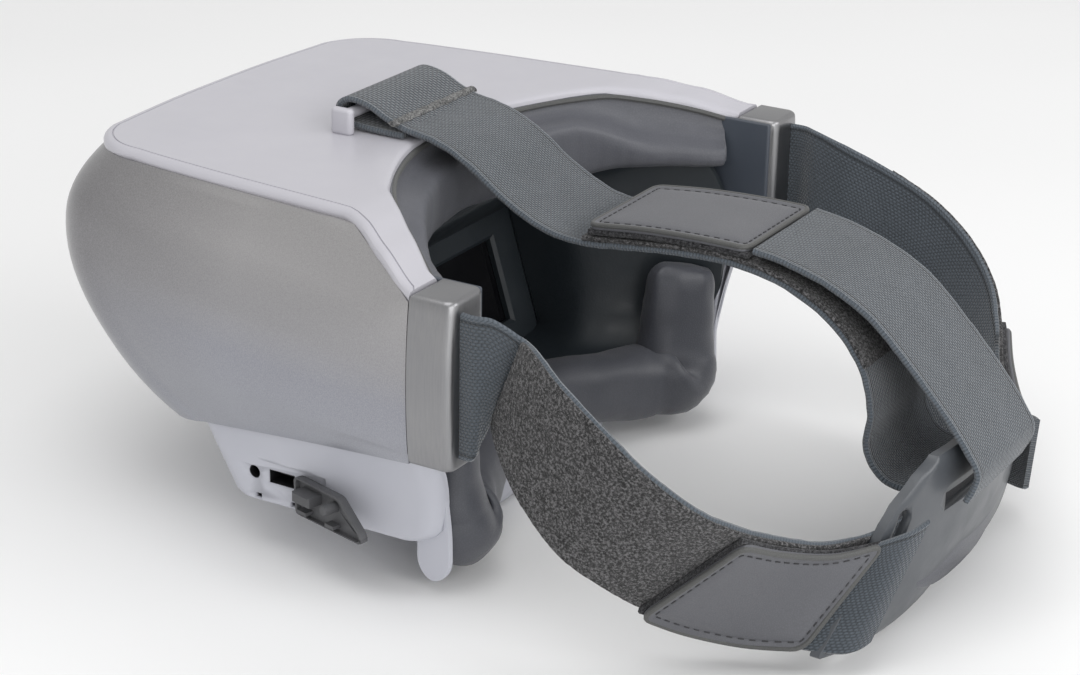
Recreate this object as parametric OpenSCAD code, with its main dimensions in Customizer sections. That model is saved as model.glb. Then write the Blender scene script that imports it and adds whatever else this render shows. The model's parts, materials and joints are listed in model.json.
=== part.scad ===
// Head-worn video goggles: a hollow face-worn housing with a screen inside,
// foam cushions round the eyes and three elastic straps that meet at a plate
// behind the head. X is the wearer's right, Y is forward, Z is up.
// Inside the modules Z = 0 is the top of the strap brackets and Y = 0 is
// their rear edge. place() moves everything onto the row's origin.

/* [Housing] */
// Half-width of the front shell at the strap brackets
shell_half_w = 95.5; // [93:0.5:98]
// Half-width of the top cover at its front corners
top_half_w = 67; // [64:1:70]
// How far forward the top cover reaches
top_front_y = 142; // [138:1:146]
// How far forward the nose of the front shell reaches
nose_y = 155; // [152:1:158]
// Wall thickness of the plastic shells
wall = 2.4; // [2:0.1:2.6]
// Height of the top cover's upper face above the brackets
top_z = 9.4; // [9:0.1:10]

/* [Brackets] */
// Length of a strap bracket from front to rear
bracket_l = 13; // [12:0.5:14]
// Height of a strap bracket
bracket_h = 45; // [44:0.5:47]
// Thickness of a strap bracket
bracket_t = 11; // [10.5:0.5:12]
// Radius of the steel pin that each side strap loops round
pin_r = 1.5; // [1.2:0.1:1.6]

/* [Straps] */
// Width of the elastic webbing
strap_w = 39; // [38:1:40]
// Thickness of the webbing
strap_t = 1.6; // [1.4:0.1:1.8]
// Thickness of the loop pile stitched onto the webbing
pile_t = 1.2; // [1:0.1:1.3]
// Thickness of a leather tab
tab_t = 1.7; // [1.5:0.1:1.9]

/* [Ports] */
// Radius of the audio socket's bore
jack_r = 1.75; // [1.7:0.05:1.8]
// Depth of the audio socket's bore
jack_depth = 12; // [11:0.5:13]
// Length of the port cover from its hinge to its free end
cover_l = 27; // [24:0.5:28]
// Height of the port cover
cover_h = 10.5; // [10:0.5:12]

/* [Hidden] */
$fn = 48;

table_z = -92;                       // what the goggles stand on
mid_y = 23.3;                        // middle of the whole length
layer_gap = 0.3;                     // play between layers that part
pin_y = 5;                           // strap pin, in front of the rear edge
slot_x = -90.6;                      // middle of the left bracket's strap slot
bar_y = 82;                          // cross bar of the top strap's loop
bar_z = 14.2;
bar_r = 1.6;
port_z = -68;                        // height of the two sockets
jack_y = 72;
button_y = 46;                       // rearmost of the three side buttons
video_y = 63;
hinge_y = 56.5;                      // port cover's hinge line
hinge_x = -81.4;
open_turn = 165;                     // how far the cover stands swung open

module place() {
    translate([0, -mid_y, -table_z]) children();
}

// ---------- point functions ----------
function unit(v) = v / norm(v);
function curve_point(a, b, c, d, t) =
    0.5 * (2 * b + (c - a) * t + (2 * a - 5 * b + 4 * c - d) * t * t
    + (3 * b - a - 3 * c + d) * t * t * t);
// Smooth path through the points, with k steps between each two
function smooth_path(p, k) = [
    for (i = [0:len(p) - 2]) for (s = [0:k - 1])
        curve_point(p[max(i - 1, 0)], p[i], p[i + 1], p[min(i + 2, len(p) - 1)], s / k),
    p[len(p) - 1]];
function pair(a, b, c, d) = [[a, b, c], [a, c, d]];
function flip_x(p) = [for (v = p) [-v[0], v[1], v[2]]];
function backwards(p) = [for (i = [len(p) - 1:-1:0]) p[i]];
function total(p, i = 0) = i == len(p) - 1 ? p[i] : p[i] + total(p, i + 1);
function centre(p) = total(p) / len(p);
// Which way a ring turns, seen along the path to the next ring
function ring_turn(rings) =
    let (r = rings[0], n = len(r), c = centre(r))
    total([for (j = [0:n - 1]) cross(r[j] - c, r[(j + 1) % n] - c)]) * (centre(rings[1]) - c);
// Which way a grid of points faces, seen from the inner grid
function grid_turn(outer, inner) =
    cross(outer[0][1] - outer[0][0], outer[1][0] - outer[0][0]) * (outer[0][0] - inner[0][0]);

// Closed solid through a row of rings that all have the same number of points
module ring_solid(raw, closed = false) {
    rings = ring_turn(raw) > 0 ? [for (r = raw) backwards(r)] : raw;
    n = len(rings);
    m = len(rings[0]);
    last = closed ? n - 1 : n - 2;
    sides = [for (i = [0:last]) for (j = [0:m - 1])
        each pair(i * m + j, i * m + (j + 1) % m,
            ((i + 1) % n) * m + (j + 1) % m, ((i + 1) % n) * m + j)];
    first_cap = [for (j = [1:m - 2]) [0, j + 1, j]];
    last_cap = [for (j = [1:m - 2]) [(n - 1) * m, (n - 1) * m + j, (n - 1) * m + j + 1]];
    polyhedron([for (r = rings) each r], concat(sides, closed ? [] : concat(first_cap, last_cap)));
}

// Thin wall between two grids of points: outer and inner have the same size
module skin_solid(outside, inside) {
    turned = grid_turn(outside, inside) > 0;
    outer = turned ? backwards(outside) : outside;
    inner = turned ? backwards(inside) : inside;
    n = len(outer);
    m = len(outer[0]);
    k = n * m;
    faces = [
        for (i = [0:n - 2]) for (j = [0:m - 2])
            each pair(i * m + j, i * m + j + 1, (i + 1) * m + j + 1, (i + 1) * m + j),
        for (i = [0:n - 2]) for (j = [0:m - 2])
            each pair(k + i * m + j, k + (i + 1) * m + j, k + (i + 1) * m + j + 1, k + i * m + j + 1),
        for (i = [0:n - 2])
            each pair(i * m, (i + 1) * m, k + (i + 1) * m, k + i * m),
        for (i = [0:n - 2])
            each pair(i * m + m - 1, k + i * m + m - 1, k + (i + 1) * m + m - 1, (i + 1) * m + m - 1),
        for (j = [0:m - 2]) each pair(j, k + j, k + j + 1, j + 1),
        for (j = [0:m - 2])
            each pair((n - 1) * m + j, (n - 1) * m + j + 1, k + (n - 1) * m + j + 1, k + (n - 1) * m + j)];
    polyhedron([each [for (r = outer) each r], each [for (r = inner) each r]], faces);
}

// Rounded box with its edges along Z rounded
module round_box(size, r) {
    linear_extrude(size[2]) translate([r, r]) offset(r) square([size[0] - 2 * r, size[1] - 2 * r]);
}

// ---------- front shell ----------
// Half-width of the shell at its rear end and at its front corner, by height
rim_foot_z = -2.2;                   // underside of the temple rims at the brackets
function shell_rear_w(z) = shell_half_w - 2 * max(z - rim_foot_z, 0);
function shell_rear_y(z) = bracket_l + 3.1 * max(z - rim_foot_z, 0);
function shell_front_w(z) = z > -14
    ? top_half_w + 7 * (1 - pow((z + 14) / 23, 2)) : top_half_w + 7 + 0.09 * (-14 - z);
function shell_front_y(z) = z > -15
    ? nose_y - (nose_y - top_front_y) * pow((z + 15) / 24, 2) : nose_y - 0.0193 * pow(-15 - z, 2);
function shell_low_w(z) = z > -42 ? 0 : 0.42 * (-42 - z);

// How far the side bulges between its ends, by height
function shell_bulge(z) = lookup(z, [[-60, 1], [-42, 1.6], [-32, 2], [-22, 1.4], [-14, 0],
    [-8, -2], [rim_foot_z, -6], [3, -4], [6.9, 0]]);

// Outline of the left half at one height, from the rear end to the middle
function shell_half(z, inset) =
    let (wr = shell_rear_w(z) - inset, yr = shell_rear_y(z),
        wf = shell_front_w(z) - inset, yf = shell_front_y(z) - inset,
        r = 26 - inset, y1 = yf - r)
    concat(
        [for (t = [0:0.25:0.75])
            [-(wr + (wf - wr) * t + shell_bulge(z) * 4 * t * (1 - t) - shell_low_w(z) * t * (1.6 - t)),
                yr + (y1 - yr) * t, z]],
        [for (a = [0:15:90])
            [-(wf - shell_low_w(z) * 0.6 - r + r * cos(a)), y1 + (r - 4) * sin(a), z]],
        [[-16, yf - 0.8, z]]);
function whole_outline(half) = concat(half, flip_x([for (i = [len(half) - 1:-1:0]) half[i]]));
shell_levels = [6.9, 3, rim_foot_z, -8, -14, -22, -32, -42, -51, -60];
// The two lowest levels slope down towards the front, along the shell's lower edge
function shell_edge_z(y) = -45.3 - 0.19 * (y - bracket_l);
function shell_slope(p) = p[2] > -45 ? p
    : [p[0], p[1], -42 + (shell_edge_z(p[1]) + 42) * (-42 - p[2]) / 18];
function shell_grid(inset) = [for (z = shell_levels)
    [for (p = whole_outline(shell_half(z, inset))) shell_slope(p)]];

module front_shell() {
    color("silver") skin_solid(shell_grid(0), shell_grid(wall));
}

// Plate that closes the shell's underside in front of the lower housing
belly_rear_y = 97.6;
module belly_cover() {
    edge_slope = shell_edge_z(1) - shell_edge_z(0);
    color("lightgray") intersection() {
        multmatrix([[1, 0, 0, 0], [0, 1, 0, 0], [0, edge_slope, 1, shell_edge_z(0) + 0.6], [0, 0, 0, 1]])
            linear_extrude(1.8)
                polygon([for (p = whole_outline(shell_half(-60, wall + 0.3))) [p[0], p[1]]]);
        translate([-100, belly_rear_y, -100]) cube([200, 100, 100]);
    }
}

// ---------- top cover ----------
module top_outline() {
    half = [[0, top_front_y + 0.6], [top_half_w - 24, top_front_y - 0.6],
        for (a = [75:-15:0]) [top_half_w - 22 + 22 * cos(a), top_front_y - 22 + 21 * sin(a)],
        [75.2, 43.4], [56, 44], [37, 55], [20, 61], [0, 63.5]];
    polygon(concat(half, [for (i = [len(half) - 2:-1:1]) [-half[i][0], half[i][1]]]));
}

// Sloping rim from the top cover's rear corner down to the strap bracket
module temple_rim() {
    outer_edge = [[-75.2, 43.4, top_z], [-86.5, 27.5, 5.2], [-95.2, 13.2, 0.2]];
    inner_edge = [[-56, 44, top_z], [-69, 30, 6.2], [-82, 15.5, 0.4]];
    down = [0, 0, -wall];
    ring_solid([for (i = [0:2])
        [outer_edge[i], inner_edge[i], inner_edge[i] + down, outer_edge[i] + down]]);
}

module top_cover() {
    color("gainsboro") union() {
        translate([0, 0, top_z - wall]) linear_extrude(wall) top_outline();
        temple_rim();
        mirror([1, 0, 0]) temple_rim();
    }
}

module strap_bar() {
    post_x = 22.6;
    color("white") union() {
        for (s = [-1, 1]) translate([s * post_x - 1.4, bar_y - 3.2, top_z])
            cube([2.8, 6.4, bar_z + bar_r + 0.2 - top_z]);
        translate([-post_x, bar_y, bar_z]) rotate([0, 90, 0]) cylinder(r = bar_r, h = 2 * post_x);
    }
}

// ---------- lower housing ----------
floor_z = -76;
// Half-width at a depth of t, from 0 just inside the shell's edge to 1 at the floor
function low_w(y, t) =
    let (edge_w = 90.2 - 0.158 * (y - 15)) edge_w + (79.8 - edge_w) * (1 - pow(1 - t, 3));
function low_half(t, inset) =
    let (yf = 97 - 15 * t - inset, r = 10 - inset, w = low_w(yf - r, t) - inset)
    concat([for (y = [13.5, 32, 56]) [-(low_w(y, t) - inset), y, t]],
        [for (a = [0:22.5:90]) [-(w - r + r * cos(a)), yf - r + r * sin(a), t]],
        [[-30, yf, t]]);
function low_drop(p) =
    let (edge = shell_edge_z(p[1]) - 0.3) [p[0], p[1], edge + (floor_z - edge) * p[2]];
function low_grid(inset) = [for (t = [0:0.25:1])
    [for (p = whole_outline(low_half(t, inset))) low_drop(p)]];

// Rear edge of the floor, which leaves room for the cheek lobes
floor_rear_half = [[-79, 13.5, 0], [-77, 21, 0], [-58, 22.5, 0], [-38, 31, 0], [-18, 37.5, 0], [-2, 39, 0]];

module cheek_tongue() {
    hull() for (z = [-72, -82.5]) translate([-80, 15.6, z]) rotate([0, 90, 0]) cylinder(r = 4.6, h = 2.2);
}

module lower_housing() {
    floor_pts = [for (p = whole_outline(low_half(1, 1))) [p[0], p[1]]];
    color("lightgray") difference() {
        union() {
            skin_solid(low_grid(0), low_grid(wall));
            translate([0, 0, floor_z + 0.02]) linear_extrude(wall) difference() {
                polygon(floor_pts);
                polygon(concat([[-79, 0]], [for (p = whole_outline(floor_rear_half)) [p[0], p[1]]],
                    [[79, 0]]));
            }
            cheek_tongue();
            mirror([1, 0, 0]) cheek_tongue();
        }
        translate([-90, jack_y, port_z]) rotate([0, 90, 0]) cylinder(r = 3.4, h = 16);
        translate([-90, video_y - 5.2, port_z - 3]) cube([16, 10.4, 6]);
        for (y = [jack_y - 1, video_y - 3]) translate([-90, y - 1.2, port_z - 7.6]) cube([16, 2.4, 1.8]);
        translate([-90, hinge_y - 8, cover_z - cover_h / 2 - 0.6]) cube([10, cover_l + 9, cover_h + 1.2]);
        for (i = [0:2]) translate([70, button_y + 12 * i, port_z]) rotate([0, 90, 0])
            cylinder(r = 3.2, h = 20);
        for (x = screw_x) for (y = screw_y) translate([x, y, floor_z - 1]) cylinder(r = 1.1, h = 6);
    }
}

screw_x = [-36, 36];
screw_y = [36, 76];
head_z = table_z + 6;                // where the bottom screws' heads sit

module bottom_cover() {
    color("dimgray") difference() {
        translate([-43, 30, table_z]) round_box([86, 52, floor_z - table_z], 8);
        for (x = screw_x) for (y = screw_y) {
            translate([x, y, table_z - 1]) cylinder(r = 1.1, h = 20);
            translate([x, y, table_z - 1]) cylinder(r = 2.6, h = head_z - table_z + 1);
        }
    }
}

module bottom_screws() {
    color("gray") for (x = screw_x) for (y = screw_y) {
        translate([x, y, head_z - 1.9]) cylinder(r = 2.4, h = 1.9);
        translate([x, y, head_z - 1]) cylinder(r = 1.05, h = floor_z - head_z + 4.6);
    }
}

// ---------- face frame ----------
frame_half = [[0, 57, 4.5], [28, 53, 4.5], [52, 42, 3.5], [68, 29, -1], [77, 18, -12], [79, 13, -28],
    [79, 12.5, -46], [76.5, 15, -64], [70, 20, -72.5], [54, 26, -72.5], [34, 34, -71.5], [14, 39, -69.5],
    [0, 40, -68]];
frame_loop = concat(frame_half, flip_x([for (i = [len(frame_half) - 2:-1:1]) frame_half[i]]));
frame_mid = [0, 0, -34];

function frame_ring(p) =
    let (d = unit([p[0] - frame_mid[0], 0, p[2] - frame_mid[2]]))
    [p, p + [0, 7, 0], p + [0, 7, 0] - 2.6 * d, p - 2.6 * d];

module face_frame() {
    color("lightsteelblue") ring_solid([for (p = frame_loop) frame_ring(p)], closed = true);
}

// ---------- brackets ----------
module bracket() {
    z0 = -bracket_h;
    color("darkgray") difference() {
        translate([-shell_half_w + 0.5, 0, z0]) round_box([bracket_t, bracket_l, bracket_h], 2.2);
        translate([slot_x - 2.9, -1, z0 + 2.6]) cube([5.8, 10.4, bracket_h - 5.2]);
        translate([slot_x, pin_y, z0 + 1]) cylinder(r = pin_r, h = bracket_h - 2);
        for (z = [-12, -33]) translate([-shell_half_w + 7, 11, z]) rotate([0, 90, 0])
            cylinder(r = 1, h = 8);
    }
}

module strap_pin() {
    color("silver") translate([slot_x, pin_y, -bracket_h + 1]) cylinder(r = pin_r, h = bracket_h - 2);
}

module left_bracket() {
    bracket();
}

module right_bracket() {
    mirror([1, 0, 0]) bracket();
}

module left_strap_pin() {
    strap_pin();
}

module right_strap_pin() {
    mirror([1, 0, 0]) strap_pin();
}

module bracket_screws() {
    color("gray") for (s = [-1, 1]) for (z = [-12, -33]) translate([s * (shell_half_w - 7), 11, z])
        rotate([0, s * -90, 0]) union() {
            cylinder(r = 0.95, h = 4.7);
            translate([0, 0, 4.6]) cylinder(r = 1.9, h = 1.3);
        }
}

// ---------- optics and electronics ----------
win_tilt = 17.6;
win_y = 68.8;
win_z = -50.5;
// Rear face of the tilted window frame, by height
function win_face(z) = win_y + (z - win_z) * tan(win_tilt);
module window_place() {
    translate([0, win_y, win_z]) rotate([-win_tilt, 0, 0]) children();
}

module window_frame() {
    color("darkslategray") window_place() difference() {
        translate([-53.5, 0, -19.6]) cube([107, 2.6, 39.2]);
        translate([-41.5, -1, -12.6]) cube([83, 5, 25.2]);
    }
}

module eye_window() {
    color("black") window_place() translate([-45, 2.7, -15]) cube([90, 1.5, 30]);
}

lens_r = 13;
lens_t = 4.5;
module lens() {
    color("lightblue", 0.5) window_place() translate([-31, 5, 0]) rotate([-90, 0, 0])
        rotate_extrude($fn = 64)
            polygon(concat([[0, 0], [lens_r, 0]], [for (i = [0:8]) let (x = lens_r * (1 - i / 8))
                [x, 1.4 + (lens_t - 1.4) * (1 - pow(x / lens_r, 2))]]));
}

module left_lens() {
    lens();
}

module right_lens() {
    mirror([1, 0, 0]) lens();
}

// Tunnel from the cushions to the window: a mouth, a waist and a deep end
module inner_shroud() {
    mouth_half = [[0, 55, 1], [27, 52.5, 1], [49.5, 43, 0.3], [64.8, 32, -3.4], [73.6, 24, -13.2],
        [75.4, 17, -28],
        [75.4, 15, -44], [71, 17.5, -58], [60, 25, -66.5], [48, 32, -68], [31, 38.5, -67.5],
        [13, 41, -62.5],
        [0, 42, -60.5]];
    waist_half = [for (p = [[0, -10], [27, -10], [44, -12], [51, -17], [54, -26], [55, -40], [55, -52],
        [52, -62], [44, -68], [34, -69.5], [24, -69.5], [11, -66], [0, -64]])
        [p[0], 48 + (p[1] + 56) * 0.2, p[1]]];
    deep_half = [for (p = [[0, -32.2], [27, -32.2], [45, -32.2], [51, -33], [53, -36], [53, -42], [53, -52],
        [53, -60], [51, -65], [44, -68.6], [24, -68.6], [12, -68.6],
        [0, -68.6]]) [p[0], win_face(p[1]) - 0.1, p[1]]];
    loop = function(h) concat(h, flip_x([for (i = [len(h) - 2:-1:1]) h[i]]));
    mouth = loop(mouth_half);
    waist = loop(waist_half);
    deep = loop(deep_half);
    axis_z = -47;
    rim = function(p) p - 1.8 * unit([p[0], 0, p[2] - axis_z]);
    on_face = function(p) [p[0], win_face(p[2]) - 0.1, p[2]];
    color("darkslategray") ring_solid([for (i = [0:len(mouth) - 1])
        [mouth[i], waist[i], deep[i], on_face(rim(deep[i])), rim(waist[i]), rim(mouth[i])]], closed = true);
}

module baffle_skin(inset) {
    hull() {
        window_place() translate([-50 + inset, 4.4 - inset / 2, -18 + inset])
            cube([100 - 2 * inset, 0.2, 36 - 2 * inset]);
        translate([-58 + inset, 91.6 + inset / 2, -50 + inset])
            cube([116 - 2 * inset, 0.3, 48 - 2 * inset]);
    }
}

module light_baffle() {
    color("black") difference() {
        baffle_skin(0);
        baffle_skin(1.8);
    }
}

module display_panel() {
    color("midnightblue") translate([-56, 92.5, -50]) cube([112, 2.4, 46]);
}

module display_holder() {
    color("slategray") difference() {
        translate([-61, 92.2, -54]) cube([122, 6, 54]);
        translate([-56.3, 92, -50.3]) cube([112.6, 3.2, 46.6]);
    }
}

module main_board() {
    color("darkgreen") translate([-54, 99, -52]) cube([108, 1.6, 44]);
}

module board_chips() {
    color("black") union() {
        translate([-30, 100.6, -40]) cube([16, 1.6, 16]);
        translate([2, 100.6, -36]) cube([12, 1.4, 12]);
        for (i = [0:3]) translate([20 + 7 * i, 100.6, -20]) cube([5, 1.2, 4]);
    }
}

module battery() {
    color("royalblue") translate([-33, 66, -7]) round_box([66, 18, 13], 2);
}

// ---------- ports ----------
module audio_jack() {
    x0 = -79.5;
    color("dimgray") difference() {
        translate([x0, jack_y, port_z]) rotate([0, 90, 0]) cylinder(r = 3.1, h = jack_depth + 2);
        translate([x0 - 1, jack_y, port_z]) rotate([0, 90, 0]) cylinder(r = jack_r, h = jack_depth + 1);
    }
}

module video_socket() {
    x0 = -79.6;
    color("silver") difference() {
        translate([x0, video_y - 4.8, port_z - 2.6]) cube([9, 9.6, 5.2]);
        translate([x0 - 1, video_y - 4.1, port_z - 1.9]) cube([8, 8.2, 3.8]);
    }
    color("black") translate([x0 + 3.2, video_y - 3, port_z - 0.4]) cube([5.1, 6, 0.8]);
}

cover_z = -69.6;                     // height of the port cover's middle
plug_z = port_z - cover_z + cover_h / 2;

// Rubber cover with a plug for each socket, drawn closed and then swung open
module port_cover() {
    color("dimgray") translate([hinge_x, hinge_y, cover_z]) rotate([0, 0, open_turn])
        translate([-0.7, 0, -cover_h / 2]) difference() {
            union() {
                cube([1.4, cover_l, cover_h]);
                translate([1.3, video_y - hinge_y - 3.5, plug_z - 1.4]) cube([4, 7, 2.8]);
                translate([1.3, jack_y - hinge_y, plug_z]) rotate([0, 90, 0]) cylinder(r = 1.3, h = 4);
                for (y = [0, cover_l - 1.2]) translate([-0.7, y, 0]) cube([0.8, 1.2, cover_h]);
                for (z = [0, cover_h - 1.2]) translate([-0.7, 0, z]) cube([0.8, cover_l, 1.2]);
            }
            translate([-2, 0, 0]) rotate([90, 0, 90]) linear_extrude(9)
                polygon([[cover_l - 9, cover_h + 1], [cover_l - 9, cover_h], [cover_l, 2],
                    [cover_l + 1, 2], [cover_l + 1, cover_h + 1]]);
        }
}

module side_button(i) {
    color("gray") translate([81.2, button_y + 12 * i, port_z]) rotate([0, -90, 0]) union() {
        cylinder(r = 2.9, h = 5);
        translate([0, 0, 5]) cylinder(r = 3.9, h = 1.4);
    }
}

module power_button() {
    side_button(0);
}

module plus_button() {
    side_button(1);
}

module minus_button() {
    side_button(2);
}

// ---------- cushions ----------
function oval(c, along, rx, ry) =
    let (u = unit(cross(along, [0, 1, 0])), v = [0, 1, 0])
    [for (a = [0:30:330]) c + rx * cos(a) * u + ry * sin(a) * v];

module cushion(path, radii) {
    n = len(path);
    ring_solid([for (i = [0:n - 1])
        oval(path[i], path[min(i + 1, n - 1)] - path[max(i - 1, 0)], radii[i][0], radii[i][1])]);
}

module forehead_cushion() {
    half = [[-74, 2.5, -27], [-74, 4, -20], [-71, 10, -11], [-62, 20, -6.5], [-48, 31, -7], [-30, 41, -8.5],
        [-10, 45, -10]];
    r = [[5, 5], [9, 8], [10, 9], [10, 10], [10, 10.5], [9.5, 10.5], [9.5, 10.5]];
    color("slategray") cushion(concat(half, flip_x([for (i = [6:-1:0]) half[i]])),
        concat(r, [for (i = [6:-1:0]) r[i]]));
}

module lower_cushion() {
    half = [[-62, 3.5, -34], [-63, 2.5, -40], [-63, 2.5, -52], [-61, 4.5, -64], [-53, 10, -72],
        [-40, 20, -70], [-24, 27, -66], [-8, 30, -63]];
    r = [[8, 5], [13, 8.5], [16, 9.5], [15, 9.5], [12, 10], [10, 10], [9.5, 9], [9, 8.5]];
    color("slategray") cushion(concat(half, flip_x([for (i = [7:-1:0]) half[i]])),
        concat(r, [for (i = [7:-1:0]) r[i]]));
}

// ---------- straps ----------
// A strap is a ribbon between two rails. Each row is [upper rail, lower rail].
function rail(rows, k) = smooth_path([for (r = rows) r[k]], 3);
function ribbon_rings(rows, low, high) =
    let (a = rail(rows, 0), b = rail(rows, 1), n = len(a))
    [for (i = [0:n - 1])
        let (i0 = max(i - 1, 0), i1 = min(i + 1, n - 1),
            along = a[i1] + b[i1] - a[i0] - b[i0],
            out = unit(cross(b[i] - a[i], along)))
        [a[i] + low * out, b[i] + low * out, b[i] + high * out, a[i] + high * out]];
module ribbon(rows, low, high) {
    ring_solid(ribbon_rings(rows, low, high));
}
// The stretch of a ribbon between two of its rows
module ribbon_part(rows, low, high, first, last) {
    rings = ribbon_rings(rows, low, high);
    ring_solid([for (i = [3 * first:3 * last]) rings[i]]);
}

pile_low = strap_t / 2;
pile_high = pile_low + pile_t;
hook_low = pile_high + layer_gap;
hook_high = hook_low + strap_t;

side_rows = [
    [[-92.4, -3.4, -3.2], [-92.4, -3.4, -41.8]],
    [[-91, -10, -4.2], [-88, -8, -42.5]],
    [[-92, -20, -7.5], [-88, -13, -46]],
    [[-96.5, -31, -13.5], [-91, -18, -50]],
    [[-99, -44, -21], [-93, -24, -54]],
    [[-98, -56, -30], [-93, -31, -60]],
    [[-92, -66, -39], [-89, -38, -66]],
    [[-82, -72.5, -46], [-82, -45, -73]],
    [[-70, -78, -52], [-74, -53, -79]],
    [[-58, -84, -56.5], [-67, -62, -84]],
    [[-46, -90, -57.5], [-61, -74, -86.5]],
    [[-38, -95.5, -54.5], [-54, -88, -83.2]]];
// The end of the strap comes back outside the plate, under the tab
return_rows = [
    [[-49, -95, -58.5], [-65, -83.5, -85.5]],
    [[-42, -99, -56.3], [-58.5, -91.4, -85.5]],
    [[-35.5, -103, -53], [-52, -95, -83]]];
tab_rows = [
    [[-82, -72.5, -46], [-82, -45, -73]],
    [[-70, -78, -52], [-74, -53, -79]],
    [[-58, -84, -56.5], [-67, -62, -83]],
    [[-49, -88.5, -57.8], [-62.5, -72, -84.8]]];

module side_strap() {
    color("dimgray") union() {
        ribbon(side_rows, -strap_t / 2, strap_t / 2);
        translate([slot_x, pin_y, -41.6]) difference() {
            union() {
                cylinder(r = pin_r + 1.1, h = strap_w - 0.6);
                translate([-2.6, -9, 0]) cube([1.6, 9, strap_w - 0.6]);
            }
            translate([0, 0, -1]) cylinder(r = pin_r + 0.05, h = strap_w + 2);
        }
    }
}

module side_pile() {
    color("gray") ribbon_part(side_rows, pile_low, pile_high, 3, 10);
}

module side_return() {
    color("dimgray") ribbon(return_rows, 0, strap_t);
}

module side_hook() {
    color("darkgray") ribbon(tab_rows, hook_low, hook_high);
}

module side_tab() {
    color("gray") ribbon(tab_rows, hook_high, hook_high + tab_t);
}

module left_strap() {
    side_strap();
}

module left_loop_pile() {
    side_pile();
}

module left_return() {
    side_return();
}

module left_hook_pad() {
    side_hook();
}

module left_tab() {
    side_tab();
}

module right_strap() {
    mirror([1, 0, 0]) side_strap();
}

module right_loop_pile() {
    mirror([1, 0, 0]) side_pile();
}

module right_return() {
    mirror([1, 0, 0]) side_return();
}

module right_hook_pad() {
    mirror([1, 0, 0]) side_hook();
}

module right_tab() {
    mirror([1, 0, 0]) side_tab();
}

// The top strap runs in the YZ plane, so its rows are made from [y, z] points
function top_rows(path) = [for (p = path) [[strap_w / 2, p[0], p[1]], [-strap_w / 2, p[0], p[1]]]];
top_path = [[64, 12.4], [54, 10.6], [44, 6], [32, -2], [20, -7.5], [8, -9], [-6, -7.5], [-22, -6],
    [-38, -6], [-53, -9.5], [-66, -17], [-74, -27], [-77, -38], [-76.5, -48], [-82, -55.5], [-92, -57]];
top_return_path = [[-104.5, -56], [-107, -48.5], [-103, -41.5], [-96, -33], [-86, -22.5], [-75, -12.5],
    [-63, -6.3], [-51, -2.7], [-42, -1.3]];
top_tab_path = [[6, -8.6], [-10, -6.8], [-26, -6], [-40.5, -6]];

module top_strap() {
    color("dimgray") union() {
        ribbon(top_rows(top_path), -strap_t / 2, strap_t / 2);
        translate([-strap_w / 2, bar_y, bar_z]) rotate([0, 90, 0]) difference() {
            cylinder(r = bar_r + 1.9, h = strap_w);
            translate([0, 0, -1]) cylinder(r = bar_r + 0.4, h = strap_w + 2);
        }
        strap_hem();
    }
}

// The hem between the bar and the seam, where the strap is sewn to itself
module strap_hem() {
    hem = [[[66, 12.9], [74, 16], [81, 17.6]], [[66, 11.2], [73, 11.2], [80, 11.2]]];
    for (layer = hem) ribbon(top_rows([for (i = [2:-1:0]) layer[i]]), -0.7, 0.7);
    translate([-strap_w / 2, 63, 10.6]) cube([strap_w, 3.6, 3]);
}

module top_loop_pile() {
    color("gray") ribbon_part(top_rows(top_path), pile_low, pile_high, 5, 11);
}

module top_return() {
    color("dimgray") ribbon(top_rows(top_return_path), -strap_t / 2, strap_t / 2);
}

module top_hook_pad() {
    color("darkgray") ribbon(top_rows(top_tab_path), hook_low, hook_high);
}

module top_tab() {
    color("gray") ribbon(top_rows(top_tab_path), hook_high, hook_high + tab_t);
}

// ---------- rear plate ----------
function plate_y(x, z) = -101 + x * x / 330 + pow(max(-56 - z, 0), 2) / 110 * (1 - abs(x) / 90);
function plate_half(z) = lookup(z, [[-87, 62], [-80, 59], [-72, 54.5], [-64, 50], [-57, 45.5], [-52, 41],
    [-47, 33], [-43, 24]]);
plate_t = 3;

plate_rows = [-43, -47, -52, -58, -66, -74, -81, -86.8];
function plate_grid(inset) = [for (z = plate_rows) [for (u = [-1:0.2:1])
    let (x = u * plate_half(z), zz = z + 5 * (1 - u * u) * (-43 - z) / -43)
    [x, plate_y(x, zz) + inset, zz]]];

module rear_plate() {
    color("slategray") difference() {
        skin_solid(plate_grid(0), plate_grid(plate_t));
        translate([-strap_w / 2 - 1, -110, -59]) cube([strap_w + 2, 20, 5]);
        for (s = [-1, 1]) translate([s * 46, -110, -68.5]) rotate([0, s * -29, 0])
            translate([s * 0.8 - 3.6, 0, -18.5]) cube([7.2, 40, 37]);
    }
}

module rear_pad() {
    color("dimgray") difference() {
        hull() for (p = [[-14, -68, 8], [14, -68, 8], [-20, -76, 6.5], [20, -76, 6.5]])
            translate([p[0], -98.5, p[1]]) rotate([-90, 0, 0])
                cylinder(r1 = p[2], r2 = p[2] - 3, h = 15.3, $fn = 24);
        skin_solid(plate_grid(-12), plate_grid(plate_t + 0.05));
    }
}

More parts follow.
